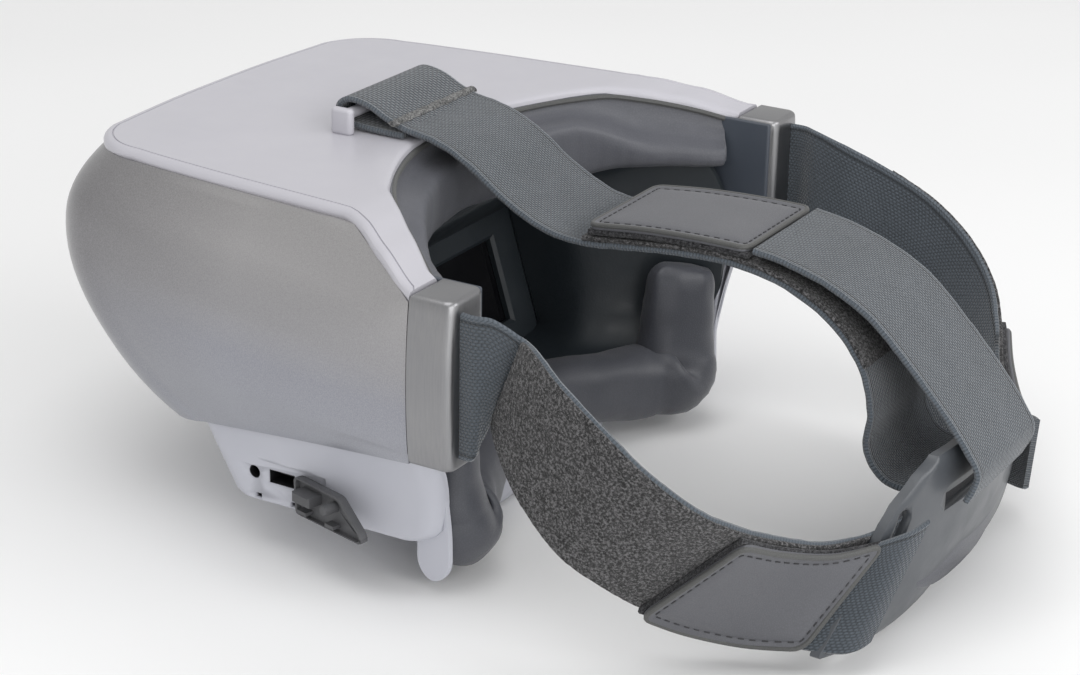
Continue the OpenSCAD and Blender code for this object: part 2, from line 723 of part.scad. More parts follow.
place() top_cover();
place() front_shell();
place() belly_cover();
place() lower_housing();
place() bottom_cover();
place() face_frame();
place() left_bracket();
place() right_bracket();
place() left_strap_pin();
place() right_strap_pin();
place() bracket_screws();
place() bottom_screws();
place() strap_bar();
place() inner_shroud();
place() window_frame();
place() eye_window();
place() left_lens();
place() right_lens();
place() light_baffle();
place() display_panel();
place() display_holder();
place() main_board();
place() board_chips();
place() battery();
place() audio_jack();
place() video_socket();
place() port_cover();
place() power_button();
place() plus_button();
place() minus_button();
place() forehead_cushion();
place() lower_cushion();
place() top_strap();
place() top_loop_pile();
place() top_return();
place() top_hook_pad();
place() top_tab();
place() left_strap();
place() left_loop_pile();
place() left_return();
place() left_hook_pad();
place() left_tab();
place() right_strap();
place() right_loop_pile();
place() right_return();
place() right_hook_pad();
place() right_tab();
place() rear_plate();
place() rear_pad();
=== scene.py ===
import bmesh
import bpy
import json
from math import copysign, cos, exp, hypot, pi, radians, sin, sqrt, tan
from mathutils import Vector, Matrix, noise

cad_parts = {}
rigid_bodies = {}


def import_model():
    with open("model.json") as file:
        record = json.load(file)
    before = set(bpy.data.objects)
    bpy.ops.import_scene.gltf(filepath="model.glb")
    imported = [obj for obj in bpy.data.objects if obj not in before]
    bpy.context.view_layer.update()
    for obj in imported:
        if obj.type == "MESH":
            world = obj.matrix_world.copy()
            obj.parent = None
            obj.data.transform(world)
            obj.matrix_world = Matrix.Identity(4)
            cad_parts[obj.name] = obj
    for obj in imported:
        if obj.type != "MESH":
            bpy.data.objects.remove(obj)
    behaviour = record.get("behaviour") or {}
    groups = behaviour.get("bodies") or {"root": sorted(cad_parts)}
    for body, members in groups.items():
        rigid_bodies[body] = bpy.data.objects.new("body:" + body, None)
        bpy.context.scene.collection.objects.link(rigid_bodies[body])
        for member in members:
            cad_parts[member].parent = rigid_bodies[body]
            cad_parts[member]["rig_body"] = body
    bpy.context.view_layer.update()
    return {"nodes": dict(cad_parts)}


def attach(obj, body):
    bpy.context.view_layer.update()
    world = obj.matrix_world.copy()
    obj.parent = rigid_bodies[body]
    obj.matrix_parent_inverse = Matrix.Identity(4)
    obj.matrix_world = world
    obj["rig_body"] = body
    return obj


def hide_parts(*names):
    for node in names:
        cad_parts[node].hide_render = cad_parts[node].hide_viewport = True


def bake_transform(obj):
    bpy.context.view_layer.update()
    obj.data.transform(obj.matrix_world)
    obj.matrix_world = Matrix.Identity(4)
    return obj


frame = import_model()

MM = 0.001
MID_Y, TABLE_Z = 23.3, -92.0      # the row frame's origin in the CAD's working frame, in mm


def T(p):
    """From the working frame, in mm, to the row frame, in metres."""
    return Vector((p[0] * MM, (p[1] - MID_Y) * MM, (p[2] - TABLE_Z) * MM))


def V(*p):
    return Vector(p)


def placed(name, data):
    """A new object in the scene, holding the data."""
    obj = bpy.data.objects.new(name, data)
    bpy.context.scene.collection.objects.link(obj)
    return obj


# ---------- camera ----------
CAMERA_AT = (-608.0, -320.9, 233.2)
AZ, EL, ROLL = radians(-59.91), radians(21.77), radians(1.18)
LENS, SENSOR = 90.08, 36

back = V(sin(AZ) * cos(EL), -cos(AZ) * cos(EL), sin(EL))
level = (-back).cross(V(0, 0, 1)).normalized()
upright = level.cross(-back)
cam_data = bpy.data.cameras.new("camera")
cam_data.lens, cam_data.sensor_width, cam_data.sensor_fit = LENS, SENSOR, "HORIZONTAL"
cam_data.clip_start, cam_data.clip_end = 0.05, 20
camera = placed("camera", cam_data)
cam_x = cos(ROLL) * level + sin(ROLL) * upright
cam_y = -sin(ROLL) * level + cos(ROLL) * upright
camera.matrix_world = Matrix(tuple(zip(cam_x, cam_y, back, T(CAMERA_AT)))).to_4x4()
bpy.context.scene.camera = camera


# ---------- curves ----------
def curve_point(a, b, c, d, t):
    return 0.5 * (2 * b + (c - a) * t + (2 * a - 5 * b + 4 * c - d) * t * t
                  + (3 * b - a - 3 * c + d) * t ** 3)


def smooth(points, k):
    """Smooth path through the points, with k steps between each two."""
    p = [Vector(q) for q in points]
    out = []
    for i in range(len(p) - 1):
        for s in range(k):
            out.append(curve_point(p[max(i - 1, 0)], p[i], p[i + 1], p[min(i + 2, len(p) - 1)], s / k))
    return out + [p[-1]]


def even(path, n):
    """n + 1 points at even distances along a path."""
    lengths = [0.0]
    for a, b in zip(path, path[1:]):
        lengths.append(lengths[-1] + (b - a).length)
    out, j = [], 0
    for i in range(n + 1):
        want = lengths[-1] * i / n
        while j < len(path) - 2 and lengths[j + 1] < want:
            j += 1
        step = lengths[j + 1] - lengths[j]
        out.append(path[j].lerp(path[j + 1], min(1, (want - lengths[j]) / step) if step > 1e-9 else 0))
    return out


def direction(path, i):
    """Along the path at its point i, from the point before to the point after."""
    return path[min(i + 1, len(path) - 1)] - path[max(i - 1, 0)]


def eased(t):
    """0 to 1 with a slow start and end, held outside that span."""
    t = min(1, max(0, t))
    return t * t * (3 - 2 * t)


def arc(cx, cy, rx, ry, a0, a1, n):
    """n + 1 points, at z 0, along an arc from a0 to a1 degrees."""
    turns = [radians(a0 + (a1 - a0) * i / n) for i in range(n + 1)]
    return [V(cx + rx * cos(a), cy + ry * sin(a), 0) for a in turns]


def circle(cx, cy, r, n):
    return arc(cx, cy, r, r, 0, 360, n)[:-1]


def lookup(x, table):
    """Smooth value between the points of a table."""
    if x <= table[0][0]:
        return table[0][1]
    for (x0, y0), (x1, y1) in zip(table, table[1:]):
        if x <= x1:
            t = (x - x0) / (x1 - x0)
            return y0 + (y1 - y0) * (eased(t) + t) / 2
    return table[-1][1]


# ---------- meshes ----------
CORNERS = ((-1, -1), (1, -1), (1, 1), (-1, 1))


def add(name, verts, faces, material, body="headset", replaces=(), slot=None, smooth_angle=35,
        attributes=None):
    mesh = bpy.data.meshes.new(name)
    mesh.from_pydata([T(v) for v in verts], [], faces)
    mesh.validate()
    mesh.update()
    obj = placed(name, mesh)
    mesh.materials.append(material)
    finish_mesh(obj, smooth_angle)
    for key, values in (attributes or {}).items():
        layer = mesh.attributes.new(key, "FLOAT_VECTOR", "POINT")
        for i, value in enumerate(values):
            layer.data[i].vector = value
    if body:
        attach(obj, body)
    if replaces:
        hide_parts(*replaces)
    return obj


def finish_mesh(obj, smooth_angle):
    """Faces turned outwards and smooth, with sharp edges only past the angle."""
    bm = bmesh.new()
    bm.from_mesh(obj.data)
    bmesh.ops.recalc_face_normals(bm, faces=bm.faces)
    limit = radians(smooth_angle)
    for f in bm.faces:
        f.smooth = True
    for e in bm.edges:
        e.smooth = len(e.link_faces) != 2 or e.calc_face_angle(0) < limit
    bm.to_mesh(obj.data)
    bm.free()


def grid_faces(n, m, wrap_n=False, wrap_m=False, start=0):
    faces = []
    for i in range(n if wrap_n else n - 1):
        for j in range(m if wrap_m else m - 1):
            a, b = i * m + j, i * m + (j + 1) % m
            c, d = ((i + 1) % n) * m + (j + 1) % m, ((i + 1) % n) * m + j
            faces.append((start + a, start + b, start + c, start + d))
    return faces


def flat(rows):
    return [p for r in rows for p in r]


def slab_between(top, under):
    """Closed form between two sheets of the same grid."""
    n, m = len(top), len(top[0])
    faces = grid_faces(n, m) + [tuple(reversed(f)) for f in grid_faces(n, m, start=n * m)]
    border = ([(0, j) for j in range(m)] + [(i, m - 1) for i in range(1, n)]
              + [(n - 1, j) for j in range(m - 2, -1, -1)] + [(i, 0) for i in range(n - 2, 0, -1)])
    ids = [i * m + j for i, j in border]
    faces += [(i, j, j + n * m, i + n * m) for i, j in zip(ids, ids[1:] + ids[:1])]
    return flat(top + under), faces


def half_body(rows):
    """Rows joined in a loop, capped at their first column and open at the mirror plane."""
    n, m = len(rows), len(rows[0])
    return flat(rows), grid_faces(n, m, wrap_n=True) + [tuple(i * m for i in range(n))]


def tube(rings, closed=False):
    """Vertices and faces of a closed form through rings."""
    n, m = len(rings), len(rings[0])
    faces = grid_faces(n, m, wrap_n=closed, wrap_m=True)
    if not closed:
        faces += [tuple(range(m)), tuple((n - 1) * m + j for j in range(m - 1, -1, -1))]
    return flat(rings), faces


def joined(*parts):
    verts, faces = [], []
    for v, f in parts:
        k = len(verts)
        verts += list(v)
        faces += [tuple(i + k for i in face) for face in f]
    return verts, faces


def mirrored(part):
    v, f = part
    return [V(-p[0], p[1], p[2]) for p in v], [tuple(reversed(face)) for face in f]


def both(part):
    return joined(part, mirrored(part))


def round_path(path, radius, sides=10, closed=False):
    """Tube of a round section along a path."""
    rings, up = [], None
    n = len(path)
    for i in range(n):
        t = (path[(i + 1) % n] - path[i - 1] if closed else direction(path, i)).normalized()
        if up is None:
            up = V(0, 0, 1) if abs(t.z) < 0.9 else V(0, 1, 0)
        x = t.cross(up).normalized()
        up = x.cross(t).normalized()
        rings.append([path[i] + x * p.x + up * p.y for p in circle(0, 0, radius, sides)])
    return tube(rings, closed)


def bevelled(ring, bevel, steps):
    """Rings of a rounded lower edge, from ring(inset, rise)."""
    turns = [radians(90 * s / steps) for s in range(steps + 1)]
    return [ring(bevel * (1 - sin(a)), bevel * (1 - cos(a))) for a in turns]


def plate_box(lo, hi, bevel, steps=3, vertical=None):
    """Box with rounded edges, as stacked rounded outlines."""
    cx, cy = (lo[0] + hi[0]) / 2, (lo[1] + hi[1]) / 2
    corner = vertical or bevel

    def ring(inset, z):
        r = max(corner - inset, 0.05)
        hx, hy = (hi[0] - lo[0]) / 2 - inset - r, (hi[1] - lo[1]) / 2 - inset - r
        out = []
        for sx, sy, a in ((1, 1, 90), (1, -1, 0), (-1, -1, -90), (-1, 1, -180)):
            out += arc(cx + sx * hx, cy + sy * hy, r, r, a, a - 90, 4)
        return [V(p.x, p.y, z) for p in out]
    return tube(bevelled(lambda inset, rise: ring(inset, lo[2] + rise), bevel, steps)
                + bevelled(lambda inset, rise: ring(inset, hi[2] - rise), bevel, steps)[::-1])


# ---------- materials ----------
def feed(nt, socket, x):
    """Gives a socket a number, a colour or vector, or what another node puts out."""
    if isinstance(x, (int, float)):
        socket.default_value = x
    elif isinstance(x, tuple):
        socket.default_value = (*x, 1)[:len(socket.default_value)]
    else:
        nt.links.new(x, socket)


def node(nt, kind, inputs, **settings):
    n = nt.nodes.new(kind)
    for key, value in settings.items():
        setattr(n, key, value)
    for key, value in inputs.items():
        feed(nt, n.inputs[key], value)
    return n


def material(name, rough=0.5, metal=0.0, specular=0.5, sheen=0.0, coat=0.0, coat_rough=0.1):
    mat = bpy.data.materials.new(name)
    mat.use_nodes = True
    nt = mat.node_tree
    bsdf = nt.nodes["Principled BSDF"]
    for key, value in (("Roughness", rough), ("Metallic", metal), ("Specular IOR Level", specular),
                       ("Sheen Weight", sheen), ("Sheen Roughness", 0.5), ("Coat Weight", coat),
                       ("Coat Roughness", coat_rough)):
        bsdf.inputs[key].default_value = value
    return mat, nt, bsdf, node(nt, "ShaderNodeTexCoord", {}).outputs["Object"]


def dress(nt, bsdf, colour, height, strength, distance, gloss=None):
    """Links a material's colour, its relief and, where it has one, its uneven gloss."""
    relief = node(nt, "ShaderNodeBump", {"Strength": strength, "Distance": distance, "Height": height})
    nt.links.new(relief.outputs["Normal"], bsdf.inputs["Normal"])
    nt.links.new(colour, bsdf.inputs["Base Color"])
    if gloss is not None:
        nt.links.new(gloss, bsdf.inputs["Roughness"])


def noise_of(nt, vector, scale, detail=3, rough=0.5, stretch=None):
    if stretch:
        vector = node(nt, "ShaderNodeMapping", {"Scale": stretch, "Vector": vector}).outputs["Vector"]
    return node(nt, "ShaderNodeTexNoise", {"Scale": scale, "Detail": detail, "Roughness": rough,
                                           "Vector": vector}).outputs["Fac"]


def ramp(nt, fac, *stops):
    r = node(nt, "ShaderNodeValToRGB", {"Fac": fac})
    e = r.color_ramp.elements
    while len(e) < len(stops):
        e.new(0.5)
    for i, (pos, col) in enumerate(stops):
        e[i].position = pos
        e[i].color = (*col, 1)
    return r.outputs["Color"]


def calc(nt, op, *values, clamp=False):
    return node(nt, "ShaderNodeMath", dict(enumerate(values)), operation=op, use_clamp=clamp).outputs[0]


def weighted(nt, a, ka, b, kb):
    return calc(nt, "ADD", calc(nt, "MULTIPLY", a, ka), calc(nt, "MULTIPLY", b, kb))


def mix(nt, fac, a, b):
    return node(nt, "ShaderNodeMix", {0: fac, 6: a, 7: b}, data_type="RGBA").outputs[2]


def grey(v):
    return (v, v, v)


def shade(colour, k):
    return tuple(x * k for x in colour)


def wave(nt, x, period):
    """0 to 1 and back within each period."""
    return calc(nt, "ABSOLUTE", calc(nt, "SINE", calc(nt, "MULTIPLY", x, pi / period)))


def plastic(name, dark, light, rough, scale=60, bump_scale=900, bump_strength=0.05, coat=0.0,
            rough_swing=0.08):
    """Moulded or painted plastic: faint clouding, orange peel and an uneven gloss."""
    mat, nt, bsdf, c = material(name, rough, coat=coat)
    clouds = ramp(nt, noise_of(nt, c, scale, 4, 0.6), (0.3, dark), (0.7, light))
    gloss = ramp(nt, noise_of(nt, c, scale * 3), (0.3, grey(rough - rough_swing)),
                 (0.7, grey(rough + rough_swing)))
    dress(nt, bsdf, clouds, noise_of(nt, c, bump_scale, 2), bump_strength, 0.0003, gloss)
    return mat


def leather(name, dark, light, rough=0.5, grain=620, depth=0.35):
    """Artificial leather: pebbled grain with fine creases between the pebbles."""
    mat, nt, bsdf, c = material(name, rough, specular=0.45, sheen=0.1)
    pebbles = node(nt, "ShaderNodeTexVoronoi", {"Scale": grain, "Vector": c}, feature="DISTANCE_TO_EDGE")
    edge = calc(nt, "MULTIPLY", pebbles.outputs["Distance"], 4.0, clamp=True)
    fine = noise_of(nt, c, grain * 2.2)
    height = weighted(nt, edge, 0.7, fine, 0.3)
    col = ramp(nt, noise_of(nt, c, 45, 4), (0.3, dark), (0.7, light))
    col = mix(nt, calc(nt, "MULTIPLY", calc(nt, "SUBTRACT", 1.0, edge), 0.35), col, shade(dark, 0.6))
    gloss = ramp(nt, fine, (0.2, grey(rough - 0.08)), (0.8, grey(rough + 0.1)))
    dress(nt, bsdf, col, height, depth, 0.0002, gloss)
    return mat


def woven(name, dark, light, pitch=0.9, width=39.0):
    """Woven elastic: short ribs stepped from row to row, with a corded edge on both sides."""
    mat, nt, bsdf, c = material(name, 0.85, specular=0.25, sheen=0.35)
    place = node(nt, "ShaderNodeAttribute", {}, attribute_name="strap").outputs["Vector"]
    u, v = node(nt, "ShaderNodeSeparateXYZ", {0: place}).outputs[:2]
    row = calc(nt, "FLOOR", calc(nt, "DIVIDE", v, pitch))
    shift = calc(nt, "MULTIPLY", calc(nt, "MODULO", row, 2.0), 0.5)
    along = calc(nt, "ADD", calc(nt, "DIVIDE", u, pitch * 1.25), shift)
    knots = calc(nt, "POWER", calc(nt, "MULTIPLY", wave(nt, along, 1), wave(nt, v, pitch)), 0.6)
    fibre = noise_of(nt, c, 2600)
    col = ramp(nt, knots, (0.05, shade(dark, 0.2)), (0.5, dark), (0.95, shade(light, 1.2)))
    col = mix(nt, 0.35, col, ramp(nt, noise_of(nt, c, 90, 4), (0.3, dark), (0.7, light)))
    col = mix(nt, 0.25, col, ramp(nt, fibre, (0.3, shade(dark, 0.5)), (0.75, shade(light, 1.35))))
    # corded edge: a slim lighter line, the binding's cord with a painted edge highlight on it, then a darker
    # band beside it, painted shade in the groove
    side = calc(nt, "DIVIDE", calc(nt, "ABSOLUTE", calc(nt, "SUBTRACT", v, width / 2)), width / 2)
    groove = ramp(nt, side, (0.90, grey(0)), (0.925, grey(1)), (0.95, grey(0)))
    binding_and_edge_highlight = ramp(nt, wave(nt, calc(nt, "ADD", u, v), 0.9), (0.0, shade(dark, 1.1)), (0.8, shade(light, 1.12)))
    # painted shade in the groove between the strap's body and its cord
    col = mix(nt, groove, col, shade(dark, 0.35))
    # the corded binding, lightened by a painted edge highlight
    col = mix(nt, ramp(nt, side, (0.945, grey(0)), (0.965, grey(1))), col, binding_and_edge_highlight)
    height = weighted(nt, knots, 0.8, fibre, 0.35)
    dress(nt, bsdf, col, height, 0.7, 0.0005)
    return mat


def pile(name, dark, light):
    """Brushed loop pile: tangled fibres that catch the light in flecks."""
    mat, nt, bsdf, c = material(name, 0.95, specular=0.1, sheen=0.15)
    tangle = noise_of(nt, c, 1400, 5, 0.8)
    clump = noise_of(nt, c, 420, 4, 0.7)
    col = ramp(nt, tangle, (0.43, shade(dark, 0.3)), (0.5, dark), (0.575, light))
    col = mix(nt, calc(nt, "MULTIPLY", clump, 0.3), col, ramp(nt, clump, (0.35, dark), (0.65, light)))
    height = weighted(nt, tangle, 0.7, clump, 0.8)
    dress(nt, bsdf, col, height, 0.8, 0.0006)
    return mat


def brushed(name, dark, light, rough, stretch=(1, 1, 0.03)):
    """Satin metal with fine straight brushing and a slow change of tone."""
    mat, nt, bsdf, c = material(name, rough, 1.0)
    lines = noise_of(nt, c, 2200, 3, 0.6, stretch)
    tones = [ramp(nt, fac, (0.3, dark), (0.7, light)) for fac in (lines, noise_of(nt, c, 40))]
    gloss = ramp(nt, lines, (0.3, grey(rough - 0.06)), (0.7, grey(rough + 0.08)))
    dress(nt, bsdf, mix(nt, 0.5, *tones), lines, 0.12, 0.0002, gloss)
    return mat


def silver_paint():
    """Silver paint with a fine flake. Its colour holds painted reflection and shade: warm and light towards
    the top of the shell, darker at mid height and bluish grey low down, with painted shade darkening it
    towards its front.
    """
    mat, nt, bsdf, c = material("silver_paint", 0.34, 0.55, coat=0.35, coat_rough=0.18)
    at = node(nt, "ShaderNodeSeparateXYZ", {0: c})
    low, high = T((0, 0, -60)).z, T((0, 0, 8)).z
    height = calc(nt, "DIVIDE", calc(nt, "SUBTRACT", at.outputs[2], low), high - low)
    # painted reflection and shade by height: bluish grey at the bottom, darker at mid height, warm and
    # lighter near the top
    tone = ramp(nt, height, (0.0, (0.33, 0.34, 0.385)), (0.42, (0.27, 0.275, 0.315)),
                (0.58, (0.30, 0.295, 0.31)), (0.8, (0.35, 0.34, 0.345)), (1.0, (0.33, 0.32, 0.32)))
    # painted shade: darker colours that take over towards the front of the shell, darkest high up
    front = ramp(nt, height, (0.0, (0.25, 0.255, 0.285)), (0.6, (0.185, 0.18, 0.19)),
                 (1.0, (0.17, 0.165, 0.17)))
    # how far the painted front shade has taken over, from y 75 mm forwards over 60 mm
    front_shade_weight = calc(nt, "DIVIDE", calc(nt, "SUBTRACT", at.outputs[1], T((0, 75, 0)).y), 0.06, clamp=True)
    flake = noise_of(nt, c, 3000, 2)
    col = mix(nt, 0.12, mix(nt, front_shade_weight, tone, front), ramp(nt, flake, (0.3, grey(0.15)), (0.7, grey(0.75))))
    gloss = ramp(nt, noise_of(nt, c, 30), (0.3, grey(0.30)), (0.7, grey(0.40)))
    dress(nt, bsdf, col, flake, 0.03, 0.0002, gloss)
    return mat


WHITE = plastic("white_cover", (0.475, 0.468, 0.508), (0.498, 0.490, 0.53), 0.40, scale=18, bump_scale=1300,
                bump_strength=0.035, coat=0.15)
SILVER = silver_paint()
PALE = plastic("pale_housing", (0.455, 0.463, 0.515), (0.485, 0.492, 0.54), 0.42, scale=22,
               bump_strength=0.04)
METAL = brushed("bracket_metal", (0.25, 0.251, 0.262), (0.32, 0.318, 0.322), 0.34)
STEEL = brushed("steel", (0.45, 0.45, 0.46), (0.6, 0.6, 0.6), 0.3, (1, 1, 0.2))
SLATE = plastic("slate", (0.014, 0.019, 0.0235), (0.018, 0.0235, 0.029), 0.5, scale=35, bump_scale=1500,
                bump_strength=0.12)
LINER = plastic("liner", (0.052, 0.062, 0.080), (0.060, 0.071, 0.090), 0.45, scale=30)
DARK = plastic("dark_plastic", (0.03, 0.032, 0.036), (0.045, 0.048, 0.052), 0.5)
GLOSS_BLACK = plastic("window_black", (0.002, 0.002, 0.003), (0.004, 0.004, 0.005), 0.08, bump_strength=0.004,
                      rough_swing=0.02)
RUBBER = plastic("cover_rubber", (0.066, 0.067, 0.072), (0.082, 0.083, 0.088), 0.55, scale=80,
                 bump_scale=1600, bump_strength=0.1)
BUTTON = plastic("button_plastic", (0.10, 0.105, 0.11), (0.13, 0.135, 0.14), 0.45)
CUSHION = leather("cushion_leather", (0.086, 0.089, 0.104), (0.101, 0.104, 0.121), 0.42, grain=1500,
                  depth=0.14)
# the same leather as the cushions, about a quarter darker: painted shade on the lower cushion, which lies in
# shade
CUSHION_PAINTED_SHADE = leather("lower_leather_painted_shade", (0.066, 0.069, 0.082), (0.079, 0.082, 0.096), 0.4, grain=1500,
                      depth=0.14)
TAB = leather("tab_leather", (0.098, 0.100, 0.112), (0.112, 0.114, 0.126), 0.5, grain=1800, depth=0.15)
PIPING = leather("piping", (0.075, 0.076, 0.075), (0.088, 0.089, 0.086), 0.55, grain=1400, depth=0.2)
THREAD = plastic("thread", (0.03, 0.03, 0.033), (0.05, 0.05, 0.055), 0.8, bump_scale=2500, bump_strength=0.4)
WOVEN = woven("woven_strap", (0.043, 0.052, 0.062), (0.084, 0.098, 0.115))
WOVEN_BAR = woven("woven_coarse", (0.043, 0.051, 0.061), (0.090, 0.103, 0.118), pitch=1.2)
PILE = pile("loop_pile", (0.030, 0.0298, 0.0305), (0.165, 0.162, 0.166))
HOOK = pile("hook_pad", (0.03, 0.03, 0.033), (0.09, 0.09, 0.095))
FUZZ = pile("worn_fibre", (0.13, 0.13, 0.13), (0.26, 0.26, 0.255))
GREY_PLATE = plastic("plate_plastic", (0.062, 0.068, 0.077), (0.072, 0.078, 0.087), 0.40, scale=30, coat=0.1)
SOCKET = plastic("socket_plastic", (0.008, 0.008, 0.009), (0.015, 0.015, 0.016), 0.45)
SCREEN = plastic("screen", (0.004, 0.005, 0.014), (0.006, 0.008, 0.02), 0.12, bump_strength=0.01)
BOARD = plastic("board", (0.01, 0.07, 0.03), (0.015, 0.10, 0.045), 0.35, scale=200)
CELL = plastic("cell_wrap", (0.02, 0.06, 0.2), (0.03, 0.08, 0.26), 0.4)
LENS = plastic("lens", (0.25, 0.28, 0.3), (0.32, 0.35, 0.38), 0.05, bump_strength=0.005)

# the hidden pieces keep their CAD meshes
for mat, names in (
        (STEEL, "bracket_screws bottom_screws left_strap_pin right_strap_pin"), (PALE, "belly_cover"),
        (GLOSS_BLACK, "eye_window"), (LENS, "left_lens right_lens"), (SCREEN, "display_panel"),
        (SOCKET, "light_baffle board_chips audio_jack video_socket"), (DARK, "display_holder"),
        (BOARD, "main_board"), (CELL, "battery"), (BUTTON, "power_button plus_button minus_button")):
    for name in names.split():
        mesh = frame["nodes"][name].data
        mesh.materials.clear()
        mesh.materials.append(mat)


# ---------- top cover ----------
TOP_Z = 9.4
RIM_HEIGHT = [(10, -0.9), (14, 0.35), (28, 5.6), (38, 8.4), (44, 9.3), (50, TOP_Z)]


def cover_z(y):
    return lookup(y, RIM_HEIGHT)


def path_2d(*points):
    return [V(x, y, 0) for x, y in points]


side_edge = path_2d((-75.0, 46), (-73.4, 64), (-71.2, 88), (-68.6, 110), (-67, 120))
corner_edge = arc(-45, 120, 22, 21, 180, 105, 10)
cover_outer = (even(smooth(path_2d((-95.2, 13.2), (-86.5, 27.5), (-78.2, 39.5), (-75.0, 46)), 8), 14)[:-1]
               + even(smooth(side_edge, 8), 26)[:-1] + corner_edge[:-1]
               + even(smooth([corner_edge[-1]] + path_2d((-22, 142.3), (0, 142.6)), 6), 12))
cover_inner = even(smooth(path_2d((-82.5, 14.2), (-69, 30), (-57.5, 42.5)), 8), 14)[:-1]
cover_inner += even(smooth(path_2d((-57.5, 42.5), (-52, 47.2), (-37, 55), (-20, 61), (0, 63.5)), 8),
                    len(cover_outer) - len(cover_inner) - 1)
COVER_EDGE = [
    (1.6, 3.4), (0.3, 3.3), (0.05, 2.6), (0.0, 1.7), (0.25, 0.9), (0.8, 0.35), (1.6, 0.06), (2.3, 0.0),
    (2.42, 0.38), (2.72, 0.38), (2.84, 0.0), (3.4, 0.0)]
COVER_INNER_EDGE = [(0.8, 0.2), (0.25, 0.7), (0.0, 1.5), (0.1, 3.2), (1.5, 3.4)]
COVER_REAR = 13.2


def top_cover():
    """Half of the cover: each row runs from the outer edge's groove, over the top, to the inner edge."""
    rows = []
    last = len(cover_outer) - 1
    for i in range(last + 1):
        o, q = cover_outer[i], cover_inner[i]
        t, ti = (direction(path, i).normalized() for path in (cover_outer, cover_inner))
        inward = V(t.y, -t.x, 0) if i < last else V(0, -1, 0)
        out_in = V(-ti.y, ti.x, 0) if i < last else V(0, 1, 0)
        a, b = o + inward * COVER_EDGE[-1][0], q + out_in * 1.6
        points = [(o + inward * d, drop) for d, drop in COVER_EDGE]
        points += [(a.lerp(b, s / 10), 0) for s in range(1, 11)]
        points += [(q + out_in * d, drop) for d, drop in COVER_INNER_EDGE]
        row = [V(p.x, p.y, cover_z(p.y) - drop) for p, drop in points]
        if i == 0:
            for p in row:
                p.z += cover_z(COVER_REAR) - cover_z(p.y)
                p.y = COVER_REAR
        rows.append(row)
    m = len(rows[0])
    return flat(rows), grid_faces(last + 1, m, wrap_m=True) + [tuple(range(m))]


add("top_shell", *both(top_cover()), WHITE, replaces=["top_cover"], slot="white_cover", smooth_angle=30)


# ---------- silver shell ----------
WALL = 2.0
HALF_W, NOSE_Y = 95.5, 155.0
FOOT = -2.2
LOW_Z, BOTTOM_Z = -42, -60        # below LOW_Z the shell sweeps in, to its bottom edge at BOTTOM_Z


def bow(z):
    """The brackets and the shell's rear edge bow outwards at mid height."""
    return 1.7 * max(0, 1 - ((z + 24) / 24) ** 2)


def rear_w(z):
    return HALF_W - 2 * max(z - FOOT, 0) + bow(z) * 0.9


def rear_y(z):
    return 13.0 + 3.1 * max(z - FOOT, 0)


def front_w(z):
    return 67 + 7 * (1 - ((z + 14) / 23) ** 2) if z > -14 else 74 + 0.09 * (-14 - z)


def front_y(z):
    return NOSE_Y - 13 * ((z + 15) / 24) ** 2 if z > -15 else NOSE_Y - 0.0180 * (-15 - z) ** 2


def low_w(z):
    return 0 if z > LOW_Z else 0.34 * (LOW_Z - z)


SIDE_BULGE = [(-60, 1), (-42, 1.6), (-32, 2), (-22, 1.4), (-14, 0), (-8, -2), (FOOT, -6), (3, -4), (6.9, 0)]


def bulge(z):
    return lookup(z, SIDE_BULGE)


def edge_z(y):
    return -45.3 - 0.19 * (y - 13.0)


def shell_row(z, inset):
    """Level line round the left half: side, front corner, front. Low ones follow the bottom edge."""
    wr, yr, wf, yf = rear_w(z) - inset, rear_y(z), front_w(z) - inset, front_y(z) - inset
    r = 26 - inset
    y1 = yf - r
    out = []
    for i in range(28):
        t = i / 28
        out.append(V(-(wr + (wf - wr) * t + bulge(z) * 4 * t * (1 - t) - low_w(z) * t * (1.6 - t)),
                     yr + (y1 - yr) * t, z))
    out += [V(p.x, p.y, z) for p in arc(r + low_w(z) * 0.6 - wf, y1, r, r - 4, 180, 90, 18)]
    last = out[-1]
    out += [V(last.x * (1 - i / 10), last.y + (yf - 0.2 - last.y) * sin(i * pi / 20), z)
            for i in range(1, 11)]
    if z < LOW_Z:
        for p in out:
            p.z = LOW_Z + (edge_z(p.y) - LOW_Z) * (LOW_Z - z) / (LOW_Z - BOTTOM_Z)
    return out


def shell():
    """Half of the shell, outside then inside, with its top and bottom edges turned in."""
    levels = [
        6.9, 5.6, 4.2, 2.6, 1, -0.6, -2.2, -4, -6, -8, -10.5, -13, -16, -19, -22, -25, -28, -31, -34, -37,
        -40, -43, -46, -49, -52, -55, -57.5, -59.2, BOTTOM_Z]
    rows = [shell_row(z, 0) for z in levels]
    top, lip = ([V(p.x * 0.975, p.y - WALL * (p.y > 120), p.z + dz) for p in row]
                for row, dz in ((rows[0], -0.2), (rows[-1], 0.2)))
    return half_body([top] + rows + [lip] + [shell_row(z, WALL) for z in reversed(levels)])


add("shell", *both(shell()), SILVER, replaces=["front_shell"], slot="silver_shell", smooth_angle=50)


# ---------- lower housing ----------
FLOOR = -76.0
SHELL_EDGE = [(p.y, -p.x) for p in shell_row(BOTTOM_Z, 0)[:36]]


def low_w_at(y, t):
    edge = min(90.6 - 0.158 * (y - 15), lookup(y, SHELL_EDGE) - 0.7)
    return edge + (min(80.4, edge + 1.8) - edge) * (1 - (1 - t) ** 2.6)


